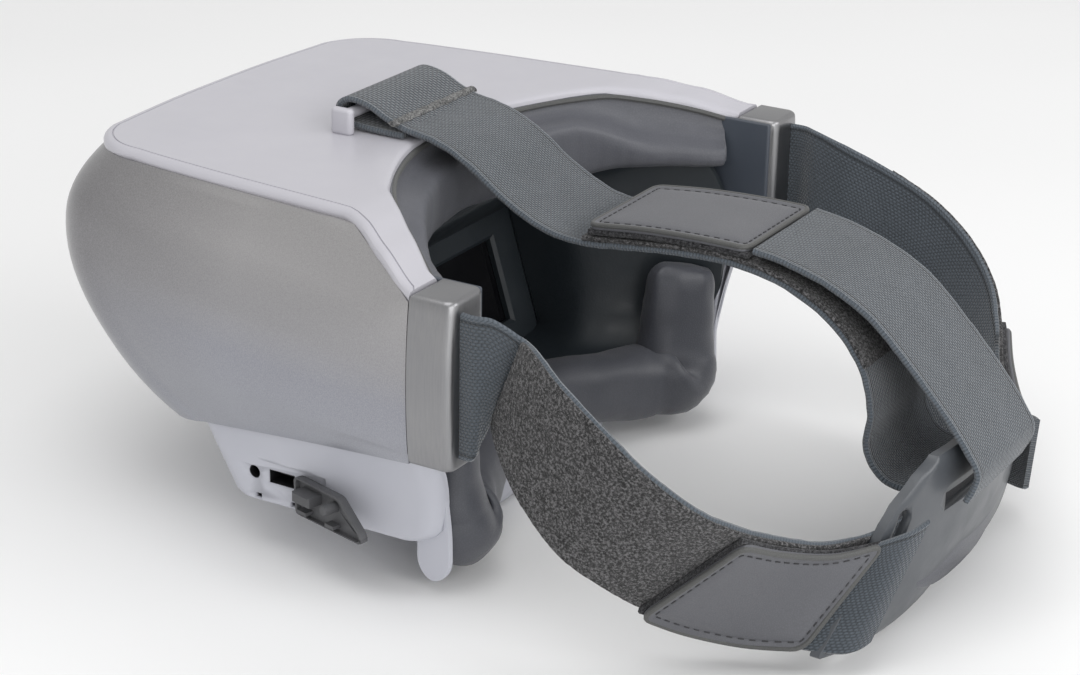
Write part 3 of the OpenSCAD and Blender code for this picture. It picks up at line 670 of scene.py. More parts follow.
def low_row(t, inset, lift=0.0):
    """Line round the left half, from the shell's bottom edge at t 0 down to the floor at t 1."""
    yf = 97 - 15 * t - inset
    r = 10 - inset
    start = 13.0 + 2.5 * t * t + 5 * max(0, (t - 0.85) / 0.15) ** 2
    raw = []
    for turn in arc(0, 0, 4.5, 5.5, 90, 0, 6):           # the rounded rear rim turns inwards
        y = start + 5.5 - turn.y
        raw.append(V(4.5 - turn.x + inset - low_w_at(y, t), y, 0))
    raw += [V(inset - low_w_at(y, t), y, 0) for y in (27, 32, 37, 42, 48, 54, 60, 66, 72)]
    raw += arc(inset + r - low_w_at(yf - r, t), yf - r, r, r, 180, 90, 9)
    raw += [V(x, yf, 0) for x in (-50, -30, -12, 0)]
    for p in raw:
        e = edge_z(p.y) + 0.8
        p.z = e + (FLOOR - e) * t + lift
    return raw


def lower():
    rows = [low_row(i / 16, 0) for i in range(16)]
    rows += [low_row(0.985, 0.35), low_row(1, 1.1), low_row(1, 2.4)]
    base = rows[-1]
    k = (len(rows) - 1) * len(base)
    rows += [low_row(1 - i / 8, WALL, 2.0 if i == 0 else 0) for i in range(9)]
    v, f = half_body(rows)
    f += [(k + j, k + j + 1, len(v) + j + 1, len(v) + j) for j in range(len(base) - 1)]
    return v + [V(0, 46 + (p.y - 18) * 0.55, FLOOR) for p in base], f


lower_obj = add("lower_body", *both(lower()), PALE, replaces=["lower_housing"], slot="lower_body",
                smooth_angle=40)
FOOT_SCREWS = [(x, y) for x in (-36, 36) for y in (36, 76)]
tray = add("bottom_tray", *plate_box((-43, 30, -92), (43, 82, -76), 5, 6, vertical=10), PALE,
           replaces=["bottom_cover"], slot="dark_plastic")


def cut(obj, *cutters):
    """Cuts closed forms out of a piece."""
    for verts, faces in cutters:
        mesh = bpy.data.meshes.new("cutter")
        mesh.from_pydata([T(p) for p in verts], [], faces)
        tool = placed("cutter", mesh)
        finish_mesh(tool, 30)
        modifier = obj.modifiers.new("cut", "BOOLEAN")
        modifier.object = tool
        modifier.solver = "EXACT"
        whole = obj.data
        obj.data = bpy.data.meshes.new_from_object(obj.evaluated_get(bpy.context.evaluated_depsgraph_get()))
        obj.modifiers.clear()
        bpy.data.meshes.remove(whole)
        bpy.data.objects.remove(tool)
        bpy.data.meshes.remove(mesh)


def x_rod(y, z, r, x0, x1, sides=24):
    return tube([[V(x, p.x, p.y) for p in circle(y, z, r, sides)] for x in (x0, x1)])


def z_rod(x, y, r, z0, z1, sides=24):
    return tube([[V(p.x, p.y, z) for p in circle(x, y, r, sides)] for z in (z0, z1)])


def box_part(x0, x1, y0, y1, z0, z1):
    return tube([[V(x, y0, z0), V(x, y1, z0), V(x, y1, z1), V(x, y0, z1)] for x in (x0, x1)])


PORT_Z, JACK_Y, VIDEO_Y = -68.0, 72.0, 63.0
JACK_R, VIDEO_LONG, VIDEO_TALL = 1.9, 4.2, 2
COVER_RECESS = (-92, -80.05, 48.5, 84.5, -75.5, -63.8)
LATCH_Z = (PORT_Z - 7.4, PORT_Z - 5.8)
BUTTON_YS, BUTTON_R = (46, 58, 70), 3.5
cut(lower_obj, box_part(*COVER_RECESS), x_rod(JACK_Y, PORT_Z, JACK_R, -90, -70),
    box_part(-90, -70, VIDEO_Y - VIDEO_LONG, VIDEO_Y + VIDEO_LONG, PORT_Z - VIDEO_TALL, PORT_Z + VIDEO_TALL),
    *[box_part(-90, -76, y, y + 2.4, *LATCH_Z) for y in (JACK_Y - 2.4, VIDEO_Y - 5)],
    *[x_rod(y, PORT_Z, BUTTON_R, 70, 92) for y in BUTTON_YS])
cut(tray, *[z_rod(x, y, 2.7, -94, -85.9) for x, y in FOOT_SCREWS])


# ---------- brackets and bar ----------
def bracket_part():
    """Block with a large radius on its rear corners; its outer face bows with the shell."""
    x0, x1, y0, y1, z0, corner, bevel = -96.0, -81.0, 0.0, 12.7, -45, 3.0, 1.5

    def ring(inset, z):
        out = []
        for sx, sy, a0 in ((-1, -1, 180), (1, -1, 270), (1, 1, 0), (-1, 1, 90)):
            r = corner - inset if sy < 0 else max(0.6 - inset, 0.1)
            cx, cy = (x1 if sx > 0 else x0) - sx * (r + inset), (y1 if sy > 0 else y0) - sy * (r + inset)
            out += arc(cx, cy, r, r, a0, a0 + 90, 8)
        return [V(p.x - bow(z) * min(1, max(0, (-84 - p.x) / 8)), p.y, z) for p in out]
    return tube(bevelled(lambda inset, rise: ring(inset, z0 + rise), bevel, 4)
                + [ring(0, z0 + bevel + (-z0 - 2 * bevel) * k / 20) for k in range(1, 20)]
                + bevelled(lambda inset, rise: ring(inset, -rise), bevel, 4)[::-1])


bracket = bracket_part()
for side, form in (("left", bracket), ("right", mirrored(bracket))):
    add(side + "_side_bracket", *form, METAL, replaces=[side + "_bracket"], slot="bracket_metal",
        smooth_angle=40)
liner = plate_box((-81.2, 1.6, -44.2), (-79.6, 27, -0.8), 0.5, 3, vertical=0.8)
add("bracket_liners", *both(liner), LINER, slot="shroud_plastic")

bar_ends = [plate_box((x, 78.6, 9.2), (x + 3.0, 85.4, 16.6), 1.0, 4, vertical=1.4) for x in (-24.2, 21.2)]
bar = joined(*bar_ends, round_path([V(-22, 82, 14.2), V(22, 82, 14.2)], 1.6, 16))
add("top_bar", *bar, WHITE, replaces=["strap_bar"], slot="white_cover")


# ---------- straps ----------
def strap_sides(rows, steps):
    """The two smooth edges of a strap, and the way out of its surface at each of their points."""
    a, b = (smooth([r[k] for r in rows], steps) for k in (0, 1))
    outs = [(b[i] - a[i]).cross(direction(a, i) + direction(b, i)).normalized() for i in range(len(a))]
    return a, b, outs


def ribbon_part(rows, low, high, steps=10, across=16, wobble=0.0, seed=0):
    """Strap between two rails, from low to high above the rails' own surface, with rounded edges.
    Also gives each point's place along and across the strap, for its weave."""
    rings, places = [], []
    u = 0.0
    middle = None
    mid, round_in = (low + high) / 2, (high - low) * 0.3
    for a, b, out in zip(*strap_sides(rows, steps)):
        if middle:
            u += ((a + b) / 2 - middle).length
        middle = (a + b) / 2
        wide, edge = (b - a).length, (b - a).normalized()
        ring = []
        for h, top, end in ((high, 1, b), (low, 0, a)):
            for j in range(across + 1):
                t = j / across if top else 1 - j / across
                ring.append(a + edge * (round_in + (wide - round_in * 2) * t) + out * h)
                places.append((u, wide * t, top))
            ring.append(end + out * mid)
            places.append((u, wide * top, top))
        if wobble:
            ring = [p + out * wobble * noise.noise(p * 0.35 + V(seed, 0, 0)) for p in ring]
        rings.append(ring)
    return tube(rings), places


def strap_piece(name, ribbon, mat, body, replaces, slot):
    part, places = ribbon
    return add(name, *part, mat, body=body, replaces=replaces, slot=slot, smooth_angle=50,
               attributes={"strap": places})


def flip_rows(rows):
    """The same rails on the other side; the rails change places so that the outside stays outside."""
    return [[(-r[1][0], r[1][1], r[1][2]), (-r[0][0], r[0][1], r[0][2])] for r in rows]


# each row is a place along a strap, on its upper and its lower edge
SIDE_ROWS = [
    [(-92.4, -3.4, -3.2), (-92.4, -3.4, -41.8)], [(-91.6, -9, -3.4), (-90, -4.6, -37.5)],
    [(-88.6, -15.8, -8), (-86, -6.2, -31)], [(-92.4, -21.8, -8.8), (-88.4, -9.2, -37)],
    [(-96.5, -31, -13.5), (-92, -16.5, -46)], [(-99, -44, -21), (-93, -24, -54)],
    [(-98, -56, -30), (-93, -31, -60)], [(-92, -66, -39), (-89, -38, -66)],
    [(-82, -72.5, -46), (-82, -45, -73)], [(-70, -78, -52), (-74, -53, -79)],
    [(-58, -84, -56.5), (-67, -62, -84)], [(-46, -90, -57.5), (-61, -74, -86.5)],
    [(-38, -95.5, -54.5), (-54, -88, -83.2)]]
STRAIGHT_ROWS = [
    [(-92.4, -3.4, -3.2), (-92.4, -3.4, -41.8)], [(-91, -10, -4.2), (-88, -8, -42.5)],
    [(-92, -20, -7.5), (-88, -13, -46)], [(-96.5, -31, -13.5), (-91, -18, -50)]] + SIDE_ROWS[5:]
SIDE_START = [[(-91.2, 5, -3.2), (-91.2, 5, -41.8)]]
PILE_START = [[(-89.4, -17.2, -8.0), (-86.4, -7.0, -32.2)]]
RETURN_ROWS = [
    [(-47.5, -93, -58.5), (-62, -79, -85.3)], [(-42, -98.6, -56.3), (-58, -90.2, -85.5)],
    [(-36.6, -101.6, -54.2), (-53, -94.5, -83.2)]]
TAB_ROWS = [
    [(-82, -72.5, -46), (-82, -45, -73)], [(-70, -78, -52), (-74, -53, -79)],
    [(-57, -85, -56.7), (-66, -65, -83.4)], [(-44.5, -92.2, -58.2), (-59.5, -78.5, -85.2)]]
STRAP_T, PILE_LOW, PILE_HIGH, HOOK_LOW, HOOK_HIGH, TAB_HIGH = 1.6, 0.8, 2.0, 2.3, 3.9, 5.6
TOP_HALF = 19.5


def top_rows(path):
    return [[(TOP_HALF, y, z), (-TOP_HALF, y, z)] for y, z in path]


def blended(obj):
    """Lets go of the piece's own body, and bakes its place into its mesh."""
    obj.parent = None
    del obj["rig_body"]
    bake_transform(obj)


def pile_part(rows, low, high, seed):
    """Strap of brushed pile, its surface unevenly raised."""
    (verts, faces), places = ribbon_part(rows, low, high, steps=14, across=44)
    shifts = (V(seed, 0, 0), V(0, seed, 7), V(3, 0, seed))
    return ([p + V(*[noise.noise(p * 1.1 + shift) for shift in shifts]) * 0.14 for p in verts], faces), places


def tab_part(rows, low, high):
    """Leather tab with rounded corners, a piped edge and a row of stitches."""
    a, b, outs = strap_sides(rows, 8)
    n = len(a)
    length = sum(((a[i + 1] + b[i + 1]) / 2 - (a[i] + b[i]) / 2).length for i in range(n - 1))
    width = (b[n // 2] - a[n // 2]).length

    def at(x, y, h):
        s = max(0, min(1, x / length)) * (n - 1)
        i = min(int(s), n - 2)
        k = s - i
        p = a[i].lerp(a[i + 1], k).lerp(b[i].lerp(b[i + 1], k), y / width)
        return p + outs[i].lerp(outs[i + 1], k).normalized() * h
    corner = 4.0
    edge = [0, 0.3, 0.8, 1.3, 1.7, 2.1, 2.5, 2.75, 3.0, 3.25, 3.6, 4.2]
    profile = [
        (0, -0.75), (0.3, -0.3), (0.8, -0.05), (1.3, 0.0), (1.9, -0.12), (2.5, -0.28), (3.0, -0.42),
        (3.4, -0.25), (4.2, -0.05), (6, 0.08), (10, 0.2), (20, 0.28)]

    def lines(total):
        inner = int((total - 2 * edge[-1]) / 1.6)
        mid = [edge[-1] + (total - 2 * edge[-1]) * j / inner for j in range(1, inner)]
        return edge + mid + [total - e for e in reversed(edge)]

    def rounded(x, y):
        """Moves a point of the full rectangle so that the corners come out round."""
        cx = min(max(x, corner), length - corner)
        cy = min(max(y, corner), width - corner)
        dx, dy = x - cx, y - cy
        if dx and dy:
            k = max(abs(dx), abs(dy)) / hypot(dx, dy)
            return cx + dx * k, cy + dy * k
        return x, y
    top, under = [], []
    for x in lines(length):
        top.append([])
        under.append([])
        for y in lines(width):
            d = min(x, y, length - x, width - y)
            px, py = rounded(x, y)
            ripple = 0.10 * noise.noise(at(px, py, 0) * 0.09)
            top[-1].append(at(px, py, high + lookup(d, profile) + (ripple if d > 4 else 0)))
            under[-1].append(at(px, py, low + (0.3 if d == 0 else 0)))

    def outline(inset, h, step):
        r = corner - inset
        pts = []
        for cs, ct, a0 in ((corner, corner, 180), (length - corner, corner, 270),
                           (length - corner, width - corner, 0), (corner, width - corner, 90)):
            pts += arc(cs, ct, r, r, a0, a0 + 90, 8)
        pts.append(pts[0])
        total = sum((v - u).length for u, v in zip(pts, pts[1:]))
        return [at(v.x, v.y, h) for v in even(pts, int(total / step))][:-1]
    pipe = round_path(outline(0.6, high - 0.55, 1.2), 0.75, 10, closed=True)
    run = outline(3.0, high - 0.34, 0.45)
    stitches = [round_path(run[i:i + 4], 0.23, 6) for i in range(0, len(run) - 4, 6)]
    return slab_between(top, under), pipe, joined(*stitches)


def tab_set(side, rows, seed):
    """A tab with its hook pad, piped edge and stitches, which all peel together."""
    flap = side + "_flap"
    hooks = strap_piece(side + "_hooks", pile_part(rows, HOOK_LOW, HOOK_HIGH, seed), HOOK, flap,
                        [side + "_hook_pad"], "hook_pad")
    form, pipe, stitches = tab_part(rows, HOOK_HIGH, TAB_HIGH)
    grip = add(side + "_grip", *form, TAB, body=flap, replaces=[side + "_tab"], slot="tab_leather")
    piping = add(side + "_grip_piping", *pipe, PIPING, body=flap, slot="tab_leather")
    thread = add(side + "_grip_stitching", *stitches, THREAD, body=flap, slot="tab_leather")
    return hooks, grip, piping, thread


def strap_set(side, start, rows, pile_start, back_rows, tab_rows):
    """A side strap with its pile, its end that comes back through the plate, and its tab."""
    half = STRAP_T / 2
    elastic = ribbon_part(start + rows, -half, half, wobble=0.25, seed=3 if side == "left" else 8)
    blended(strap_piece(side + "_elastic", elastic, WOVEN, "headset", [side + "_strap"], "woven_strap"))
    nap = pile_part(pile_start + rows[3:-1], PILE_LOW, PILE_HIGH, 5)
    blended(strap_piece(side + "_pile", nap, PILE, "headset", [side + "_loop_pile"], "loop_pile"))
    strap_piece(side + "_end", ribbon_part(back_rows, 0, STRAP_T), WOVEN, "back_plate", [side + "_return"],
                "woven_strap")
    # the tab is sewn at its rear end; here its pieces let go of the flap's body
    for part in tab_set(side, tab_rows, 9):
        blended(part)


strap_set("left", SIDE_START, SIDE_ROWS, PILE_START, RETURN_ROWS, TAB_ROWS)
strap_set("right", flip_rows(SIDE_START), flip_rows(STRAIGHT_ROWS), [], flip_rows(RETURN_ROWS),
          flip_rows(TAB_ROWS))

TOP_PATH = [
    (64, 12.4), (54, 10.6), (44, 6), (32, -2), (20, -7.5), (8, -9), (-6, -7.5), (-22, -6), (-38, -6),
    (-53, -9.5), (-66, -17), (-74, -27), (-77, -38), (-76.5, -48), (-82, -55.5), (-92, -57)]
TOP_RETURN = [
    (-42, -1.3), (-51, -2.7), (-63, -6.3), (-75, -12.5), (-86, -22.5), (-96, -33), (-103, -41.5),
    (-107, -48.5), (-104.5, -56)]
TOP_TAB = [(6, -8.6), (-10, -6.8), (-26, -6), (-40.5, -6)]
TOP_LOOP = [
    (64, 12.4), (70, 14.4), (76, 17.2), (82, 18.2), (85.4, 16.6), (86, 14), (84, 11.6), (78, 10.9),
    (71, 10.6), (65, 10.6)]


def top_ribbon(path, **settings):
    return ribbon_part(top_rows(path), -STRAP_T / 2, STRAP_T / 2, **settings)


blended(strap_piece("top_elastic", top_ribbon(TOP_PATH, wobble=0.2, seed=1), WOVEN, "headset", ["top_strap"],
                    "woven_strap"))
strap_piece("top_elastic_loop", top_ribbon(TOP_LOOP, steps=6), WOVEN_BAR, "headset", [], "woven_strap")
blended(strap_piece("top_pile", pile_part(top_rows(TOP_PATH[5:12]), PILE_LOW, PILE_HIGH, 2), PILE, "headset",
                    ["top_loop_pile"], "loop_pile"))
strap_piece("top_end", top_ribbon(TOP_RETURN, wobble=0.15, seed=4), WOVEN, "back_plate", ["top_return"],
            "woven_strap")
tab_set("top", top_rows(TOP_TAB), 6)


def ridge_part():
    """Worn seam across the top strap."""
    half = TOP_HALF + 0.8
    rings = []
    for i in range(61):
        x = half * (i / 30 - 1)
        y = 67.0 + 0.5 * noise.noise(V(x * 0.3, 0, 0))
        ring = []
        for p in circle(0, 0, 1, 10):
            k = 1 + 0.45 * noise.noise(V(x * 1.3, p.x * 1.5, p.y * 1.5))
            ring.append(V(x, y + 1.5 * k * p.x, 14.0 + 0.85 * k * p.y))
        rings.append(ring)
    return tube(rings)


add("top_seam_ridge", *ridge_part(), FUZZ, slot="woven_strap")

# ---------- cushions ----------
# sections of the forehead pad, at its middle and at its ends: how far back and how far down
PAD_PROFILE = [
    (0.0, 0.6), (0.7, 3.0), (2.6, 4.9), (5.4, 5.6), (7.6, 6.3), (8.8, 8.2), (9.0, 11.5), (8.9, 15),
    (8.6, 18.5), (7.6, 21.6), (5.4, 23.6), (2.0, 24.2), (-2.0, 22.0), (-3.2, 14.0), (-3.0, 6.0),
    (-1.2, 1.2)]
PAD_END = [
    (0.0, 0.6), (0.4, 3.4), (1.2, 7.0), (3.2, 10.6), (6.0, 12.6), (8.0, 13.9), (8.8, 15.6), (8.9, 17.4),
    (8.6, 19.2), (7.6, 21.0), (5.4, 22.4), (2.0, 23.0), (-2.0, 21.0), (-3.2, 14.0), (-3.0, 6.0),
    (-1.2, 1.2)]
# along it: a point, then how deep and how tall the section is there
FOREHEAD = [
    (V(0, 63.4, 8.2), 1.0, 1.0), (V(-20, 60.9, 8.2), 1.0, 1.0), (V(-37, 54.9, 8.2), 1.0, 1.0),
    (V(-47.5, 49.4, 8.2), 1.0, 0.98), (V(-56.5, 43.2, 8.0), 1.0, 0.95), (V(-63.5, 36.6, 6.4), 0.97, 0.9),
    (V(-69.5, 29.6, 4.4), 0.94, 0.82), (V(-75.3, 22.8, 2.0), 0.90, 0.74),
    (V(-79.4, 17.8, -0.2), 0.84, 0.64), (V(-80.3, 16.6, -0.8), 0.74, 0.56)]


def forehead_part(around=56, steps=12):
    stations = FOREHEAD[::-1] + [(V(-p.x, p.y, p.z), deep, tall) for p, deep, tall in FOREHEAD[1:]]
    pts = smooth([q[0] for q in stations], steps)
    size = smooth([(q[1], q[2], 0) for q in stations], steps)
    k = len(PAD_PROFILE)
    rings = []
    run = 0.0
    for i, at in enumerate(pts):
        t = direction(pts, i)
        rear = V(t.y, -t.x, 0).normalized()
        if i:
            run += (at - pts[i - 1]).length
        late = eased((abs(at.x) - 42) / 26)
        ring = []
        for j in range(around):
            x = j * k / around
            q = int(x)
            c = [V(*PAD_PROFILE[(q + d) % k], 0).lerp(V(*PAD_END[(q + d) % k], 0), late)
                 for d in (-1, 0, 1, 2)]
            p = curve_point(*c, x - q)
            p = at + rear * (p.x * size[i].x) - V(0, 0, p.y * size[i].y)
            if 2 < x < 10:                   # the side that meets the face is a little uneven
                p += rear * (noise.noise(V(run * 0.05, x * 0.25, 4.1)) * 0.9
                             + noise.noise(V(run * 0.35, x * 0.10, 9.7)) * 0.22)
            ring.append(p)
        rings.append(ring)
    return rings


forehead_rings = forehead_part()
forehead = add("forehead_pad", *tube(forehead_rings), CUSHION, replaces=["forehead_cushion"],
               slot="cushion_leather", smooth_angle=80)
add("forehead_piping", *round_path([r[2] + V(0, 0, 0.5) for r in forehead_rings], 0.8, 8), PIPING,
    slot="cushion_leather")


def folds(p, a):
    """Gathers under the top end of each cheek lobe, and the crease where the lobe meets the lower band."""
    top = max(0, 1 - (-42 - p.z) / 13) if p.z > -56 else 0
    gathers = 0.07 * top * (0.5 + 0.5 * sin(a * 9 + 0.8 * sin(a * 3)))
    crease = 0.06 * exp(-((abs(p.x) - 53) / 1.8) ** 2) if p.z < -70 else 0
    return gathers + crease


def oval_rings(stations, around=40, steps=7):
    """Stuffed tube: each station is a centre, the way its long side lies, and its two half-widths."""
    pts = smooth([q[0] for q in stations], steps)
    sides = smooth([q[1] for q in stations], steps)
    size = smooth([(q[2], q[3], 0) for q in stations], steps)
    rings = []
    run = 0.0
    for i, at in enumerate(pts):
        t = direction(pts, i).normalized()
        side = (sides[i] - t * sides[i].dot(t)).normalized()
        other = side.cross(t).normalized()
        if i:
            run += (at - pts[i - 1]).length
        ring = []
        for j in range(around):
            a = 2 * pi * j / around
            c, q = cos(a), sin(a)
            crease = (1 + 0.035 * noise.noise(V(run * 0.16, 1.2 * c, 1.2 * q))
                      + 0.04 * noise.noise(V(run * 0.06, c, q + 5)) - folds(at, a))
            ring.append(at + side * (copysign(abs(c) ** 0.8, c) * size[i].x * crease)
                        + other * (copysign(abs(q) ** 0.8, q) * size[i].y * crease))
        rings.append(ring)
    return rings


LOBE = V(-0.8, 0.6, 0)
BAND = V(0, 1, 0)
LOWER = [
    (V(64.5, 20.2, -43.4), LOBE, 6, 3.0), (V(64.3, 20.3, -44.6), LOBE, 9.2, 4.8),
    (V(64, 20.4, -47.5), LOBE, 10.6, 6.2), (V(63.5, 20.6, -54), LOBE, 11, 7),
    (V(63.2, 20.7, -62), LOBE, 11.4, 7.6), (V(62.6, 20.8, -70), V(-0.78, 0.63, 0), 12.2, 9.2),
    (V(60.6, 21.2, -76.6), V(-0.6, 0.8, 0), 12.8, 10.8), (V(49, 26.8, -77.2), BAND, 9.8, 10.8),
    (V(34, 32, -75), BAND, 9, 10.3), (V(18, 37, -72.5), BAND, 8.6, 10), (V(0, 39.2, -71), BAND, 8.6, 9.8)]
lower_all = LOWER + [(V(-p.x, p.y, p.z), V(-way.x, way.y, 0), wide, deep)
                     for p, way, wide, deep in LOWER[-2::-1]]
# the cheek pad takes the darker leather, whose darkness is painted shade
lower_pad = add("cheek_pad", *tube(oval_rings(lower_all)), CUSHION_PAINTED_SHADE, replaces=["lower_cushion"],
                slot="cushion_leather", smooth_angle=80)


TIP_Z = -81


def tongue_part():
    """The face ring's cheek tongue: it follows the housing's rear rim down and ends in a round tip."""
    rings = []
    for z in [-44.5 - 1.5 * k for k in range(25)] + [-81.6, -82.8, -84, -85, -85.9, -86.6, -87.1, -87.4]:
        t = min(1, (-45 - z) / 31) if z < -45 else 0
        x = -(76.0 + 10.6 * (1 - t) ** 2.6)
        rear = lookup(z, [(-90, 13.0), (-76, 13.2), (-66, 13.8), (-56, 14.4), (-44, 15.0)])
        front = 23.4
        if z < TIP_Z:
            k = sqrt(max(1 - ((TIP_Z - z) / 6.5) ** 2, 0))
            mid = (rear + front) / 2
            rear, front = mid - (mid - rear) * k, mid + (front - mid) * k
        x1, e = x + 2.2, 0.5
        rings.append([V(px, py, z) for px, py in (
            (x, rear + e), (x + e * 0.3, rear + e * 0.3), (x + e, rear), (x1 - e, rear), (x1, rear + e),
            (x1, front - e), (x1 - e, front), (x + e, front), (x, front - e))])
    return tube(rings)


add("face_rim", *both(tongue_part()), PALE, replaces=["face_frame"], slot="dark_plastic")


# ---------- shroud and window ----------
WIN_TILT, WIN_Y, WIN_Z = radians(17.6), 68.8, -50.5
SHROUD_WALL = 1.4


def win_face(z):
    return WIN_Y + (z - WIN_Z) * tan(WIN_TILT)


def at_window(x, y, z):
    c, s = cos(WIN_TILT), sin(WIN_TILT)
    return V(x, WIN_Y + y * c + z * s, WIN_Z - y * s + z * c)


def shroud():
    """Funnel from the face opening, round a waist, down to the window."""
    mouth = [
        (0, 58, -13), (27, 55.5, -13), (48, 45, -12.5), (63, 33, -12), (73.6, 22, -12), (77.5, 14.5, -24),
        (77.5, 13.5, -40), (76, 15.5, -58), (63, 22, -67), (48, 30, -69), (31, 36.5, -68), (13, 40, -64),
        (0, 41, -62)]
    waist = [
        (x, 48 + (z + 56) * 0.2, z) for x, z in (
            (0, -16), (27, -16), (44, -17), (51, -20.5), (54, -27), (55, -40), (55, -52), (52, -62),
            (44, -68), (34, -69.5), (24, -69.5), (11, -66), (0, -64))]
    deep = [
        (x, win_face(z) - 0.05, z) for x, z in (
            (0, -32), (27, -32), (49, -32), (53, -32.6), (53.6, -35), (53.6, -44), (53.6, -54), (53.6, -64),
            (53, -67.6), (46, -69), (28, -69), (12, -69), (0, -69))]
    columns = []
    for m, w, d in zip(*[smooth(r, 6) for r in (mouth, waist, deep)]):
        inner = [m.lerp(w, s / 10) for s in range(10)] + [w.lerp(d, s / 10) for s in range(11)]
        turn = (inner[8] + inner[12]) / 2
        for i, k in ((10, 0.45), (9, 0.12), (11, 0.12)):
            inner[i] = inner[i].lerp(turn, k)
        columns.append(inner + [p + V(p.x, 0, p.z + 47).normalized() * SHROUD_WALL for p in reversed(inner)])
    return flat(columns), grid_faces(len(columns), len(columns[0]), wrap_m=True)


add("eye_tunnel", *both(shroud()), SLATE, replaces=["inner_shroud"], slot="shroud_plastic", smooth_angle=45)


def frame_part():
    """Flat frame round the window; each ring is a half width, a half height and a depth."""
    sections = (
        (53.5, 19.6, 2.6), (53.5, 19.6, 0.2), (53.3, 19.4, 0.0), (42.6, 13.7, 0.0), (41.5, 12.6, 0.9),
        (41.5, 12.6, 2.6))
    return tube([[at_window(sx * hx, y, sz * hz) for sx, sz in CORNERS]
                 for hx, hz, y in sections], closed=True)


add("window_surround", *frame_part(), SLATE, replaces=["window_frame"], slot="shroud_plastic",
    smooth_angle=20)


# ---------- rear plate ----------
# the plate's half width at each height
PLATE_HALF = [
    (-88, 60), (-86, 62), (-80, 59), (-72, 54.5), (-64, 50), (-57, 45.5), (-52, 41), (-47, 33), (-43, 24)]


def plate_y(x, z):
    return -101 + x * x / 330 + max(-56 - z, 0) ** 2 / 110 * (1 - abs(x) / 90)


PLATE_TOP, PLATE_TALL, PLATE_SKIN, PLATE_BEVEL = -43, 43.8, 2.5, 2.6


def rear_plate():
    """Curved plate with a bevelled rim, its top edge arched."""
    outside = []
    for i in range(29):
        z = PLATE_TOP - PLATE_TALL * (1 - cos(pi * i / 28)) / 2
        outside.append([])
        for j in range(41):
            u = sin(pi / 2 * (j / 20 - 1))
            x = u * lookup(z, PLATE_HALF)
            zz = z + 5 * (1 - u * u) * (PLATE_TOP - z) / PLATE_TOP
            rim = min((1 - abs(u)) * 9, (PLATE_TOP - z) / PLATE_BEVEL,
                      (z - PLATE_TOP + PLATE_TALL) / PLATE_BEVEL)
            lift = 1.04 * (1 - max(0, min(1, rim))) ** 2
            outside[-1].append(V(x, plate_y(x, zz) + lift, zz))
    return slab_between(outside, [[p + V(0, PLATE_SKIN, 0) for p in row] for row in outside])


plate = add("back_shell", *rear_plate(), GREY_PLATE, body="back_plate", replaces=["rear_plate"],
            slot="plate_plastic")
SLOT_X, SLOT_Z, SLOT_LEAN, SLOT_HALF, SLOT_R = 46, -68.5, radians(29), 15.6, 2.4


def slot_cutter(side):
    """Long leaning slot with round ends, for a side strap."""
    c, d = cos(SLOT_LEAN), sin(SLOT_LEAN)
    outline = arc(0, SLOT_HALF, SLOT_R, SLOT_R, 0, 180, 8) + arc(0, -SLOT_HALF, SLOT_R, SLOT_R, 180, 360, 8)
    return tube([[V(side * (SLOT_X - p.y * d) + p.x * c, y, SLOT_Z + side * p.x * d + p.y * c)
                  for p in outline] for y in (-115, -80)])


top_slot = tube([[V(20.5 * sx, y, 2.5 * sz - 56.5) for sx, sz in CORNERS] for y in (-115, -85)])
cut(plate, slot_cutter(-1), slot_cutter(1), top_slot)


def rear_pad():
    """Pillow that swells by grow at each depth y."""
    rings = []
    for y, grow in ((-97.4, 0), (-96.5, 0.6), (-93, 1), (-89, 0.6), (-86, -0.8), (-84.2, -3), (-83.6, -6)):
        ring = []
        for p in circle(0, 0, 1, 40):
            dz = copysign(abs(p.y) ** 0.7, p.y) * (10.5 + grow)
            x = copysign(abs(p.x) ** 0.7, p.x) * (26 + grow) * (1 - 0.010 * dz)
            ring.append(V(x, y + 0.0024 * x * x, dz - 72.5))
        rings.append(ring)
    return tube(rings)


pad = add("nape_pad", *rear_pad(), CUSHION, body="back_plate", replaces=["rear_pad"], slot="cushion_leather",
          smooth_angle=70)


# ---------- port cover ----------
HINGE = V(-81.4, 56.5, -69.6)
OPEN = radians(165)
COVER_L, COVER_H = 27.0, 10.5


def swung(p):
    """From the closed cover's own frame, x inwards and y along it, to where it hangs open."""
    c, s = cos(OPEN), sin(OPEN)
    return V(HINGE.x + p[0] * c - p[1] * s, HINGE.y + p[0] * s + p[1] * c, HINGE.z + p[2])


def cover_outline(inset, r=1.4):
    """Four-sided with one corner cut off, at the free top end."""
    h = COVER_H / 2
    pts = [(0.6, -h), (COVER_L, -h), (COVER_L, -h + 2), (COVER_L - 9, h), (0, h)]
    out = []
    for i in range(len(pts)):
        p, a, b = (Vector(pts[k % len(pts)]) for k in (i, i - 1, i + 1))
        a, b = p + (a - p).normalized() * r, p + (b - p).normalized() * r
        out += [a.lerp(p, t).lerp(p.lerp(b, t), t) for t in (0, 0.2, 0.4, 0.6, 0.8, 1)]
    c = Vector((COVER_L / 2, 0))
    return [q + (c - q).normalized() * inset for q in out]


DISH = [(1.6, -0.7), (0.5, -0.7), (0.1, -0.3), (0.0, 0.4), (0.0, 1.6), (0.15, 2.0), (0.9, 2.0), (1.0, 1.6),
        (1.1, 0.7), (4.0, 0.7)]


def cover_box(y0, y1, z0, z1, x0, x1):
    return tube([[swung((x, y, z)) for y, z in ((y0, z0), (y1, z0), (y1, z1), (y0, z1))] for x in (x0, x1)])


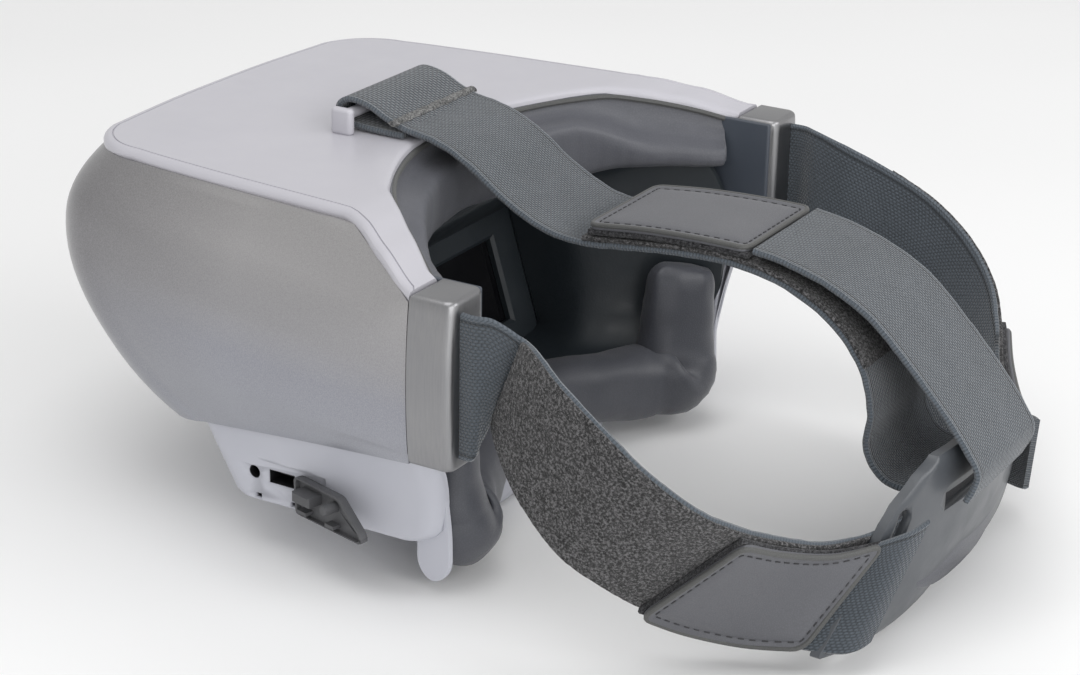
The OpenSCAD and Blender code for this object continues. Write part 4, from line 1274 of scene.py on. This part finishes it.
def port_cover():
    """Dished rubber cover with a flat block, a round plug and two catches on its inner face, and its web."""
    dish = tube([[swung((x, q.x, q.y)) for q in cover_outline(inset)] for inset, x in DISH])
    z = PORT_Z - HINGE.z
    block_y, plug_y = VIDEO_Y - HINGE.y, JACK_Y - HINGE.y
    block = tube([[swung((x, block_y + 3.5 * sy * k, z + 1.4 * sz * k)) for sy, sz in CORNERS]
                  for x, k in ((0.5, 1.0), (4.9, 1.0), (5.3, 0.86))])
    plug = tube([[swung((x, p.x, p.y)) for p in circle(plug_y, z, r, 16)]
                 for x, r in ((0.5, 1.5), (4.0, 1.5), (5.0, 1.3), (5.3, 0.9))])
    catches = [cover_box(y, y + 3.4, -3.9, -2.9, 0.5, 3.2) for y in (3, 14)]
    return joined(dish, block, plug, *catches, cover_box(-1.2, 0.6, -3, 3, -0.4, 0.6))


add("port_flap", *port_cover(), RUBBER, body="port_cover", replaces=["port_cover"], slot="cover_rubber")


# ---------- light and floor ----------
SKY_POWER = 0.70
FLOOR_HALF = 3.0
world = bpy.data.worlds.new("world")
bpy.context.scene.world = world
world.use_nodes = True
sky = world.node_tree.nodes["Background"]
sky.inputs["Color"].default_value = (1, 1, 1, 1)
sky.inputs["Strength"].default_value = SKY_POWER


def lamp(name, at, size, power):
    """Soft rectangular lamp, turned to the object."""
    data = bpy.data.lights.new(name, "AREA")
    data.shape = "RECTANGLE"
    data.size, data.size_y = size
    data.energy = power
    obj = placed(name, data)
    obj.location = at
    obj.rotation_euler = (V(0, 0, 0.05) - V(*at)).to_track_quat("-Z", "Y").to_euler()


lamp("key", (-0.3, 0.0, 1.2), (0.9, 0.9), 4.4)
lamp("rear", (0.2, -1.0, 0.7), (0.8, 0.5), 3.6)
lamp("fill", (-0.75, -1.1, 0.35), (0.8, 0.8), 6.0)

floor = bpy.data.meshes.new("floor")
floor.from_pydata([(x * FLOOR_HALF, y * FLOOR_HALF, 0) for x, y in CORNERS], [], [(0, 1, 2, 3)])
floor_mat, nt, bsdf, c = material("floor", 0.6, specular=0.2)
tone = ramp(nt, noise_of(nt, c, 3, 2), (0.3, grey(0.88)), (0.7, grey(0.92)))
nt.links.new(tone, bsdf.inputs["Base Color"])
floor.materials.append(floor_mat)
placed("floor", floor)

bpy.context.scene.view_settings.view_transform = "Standard"
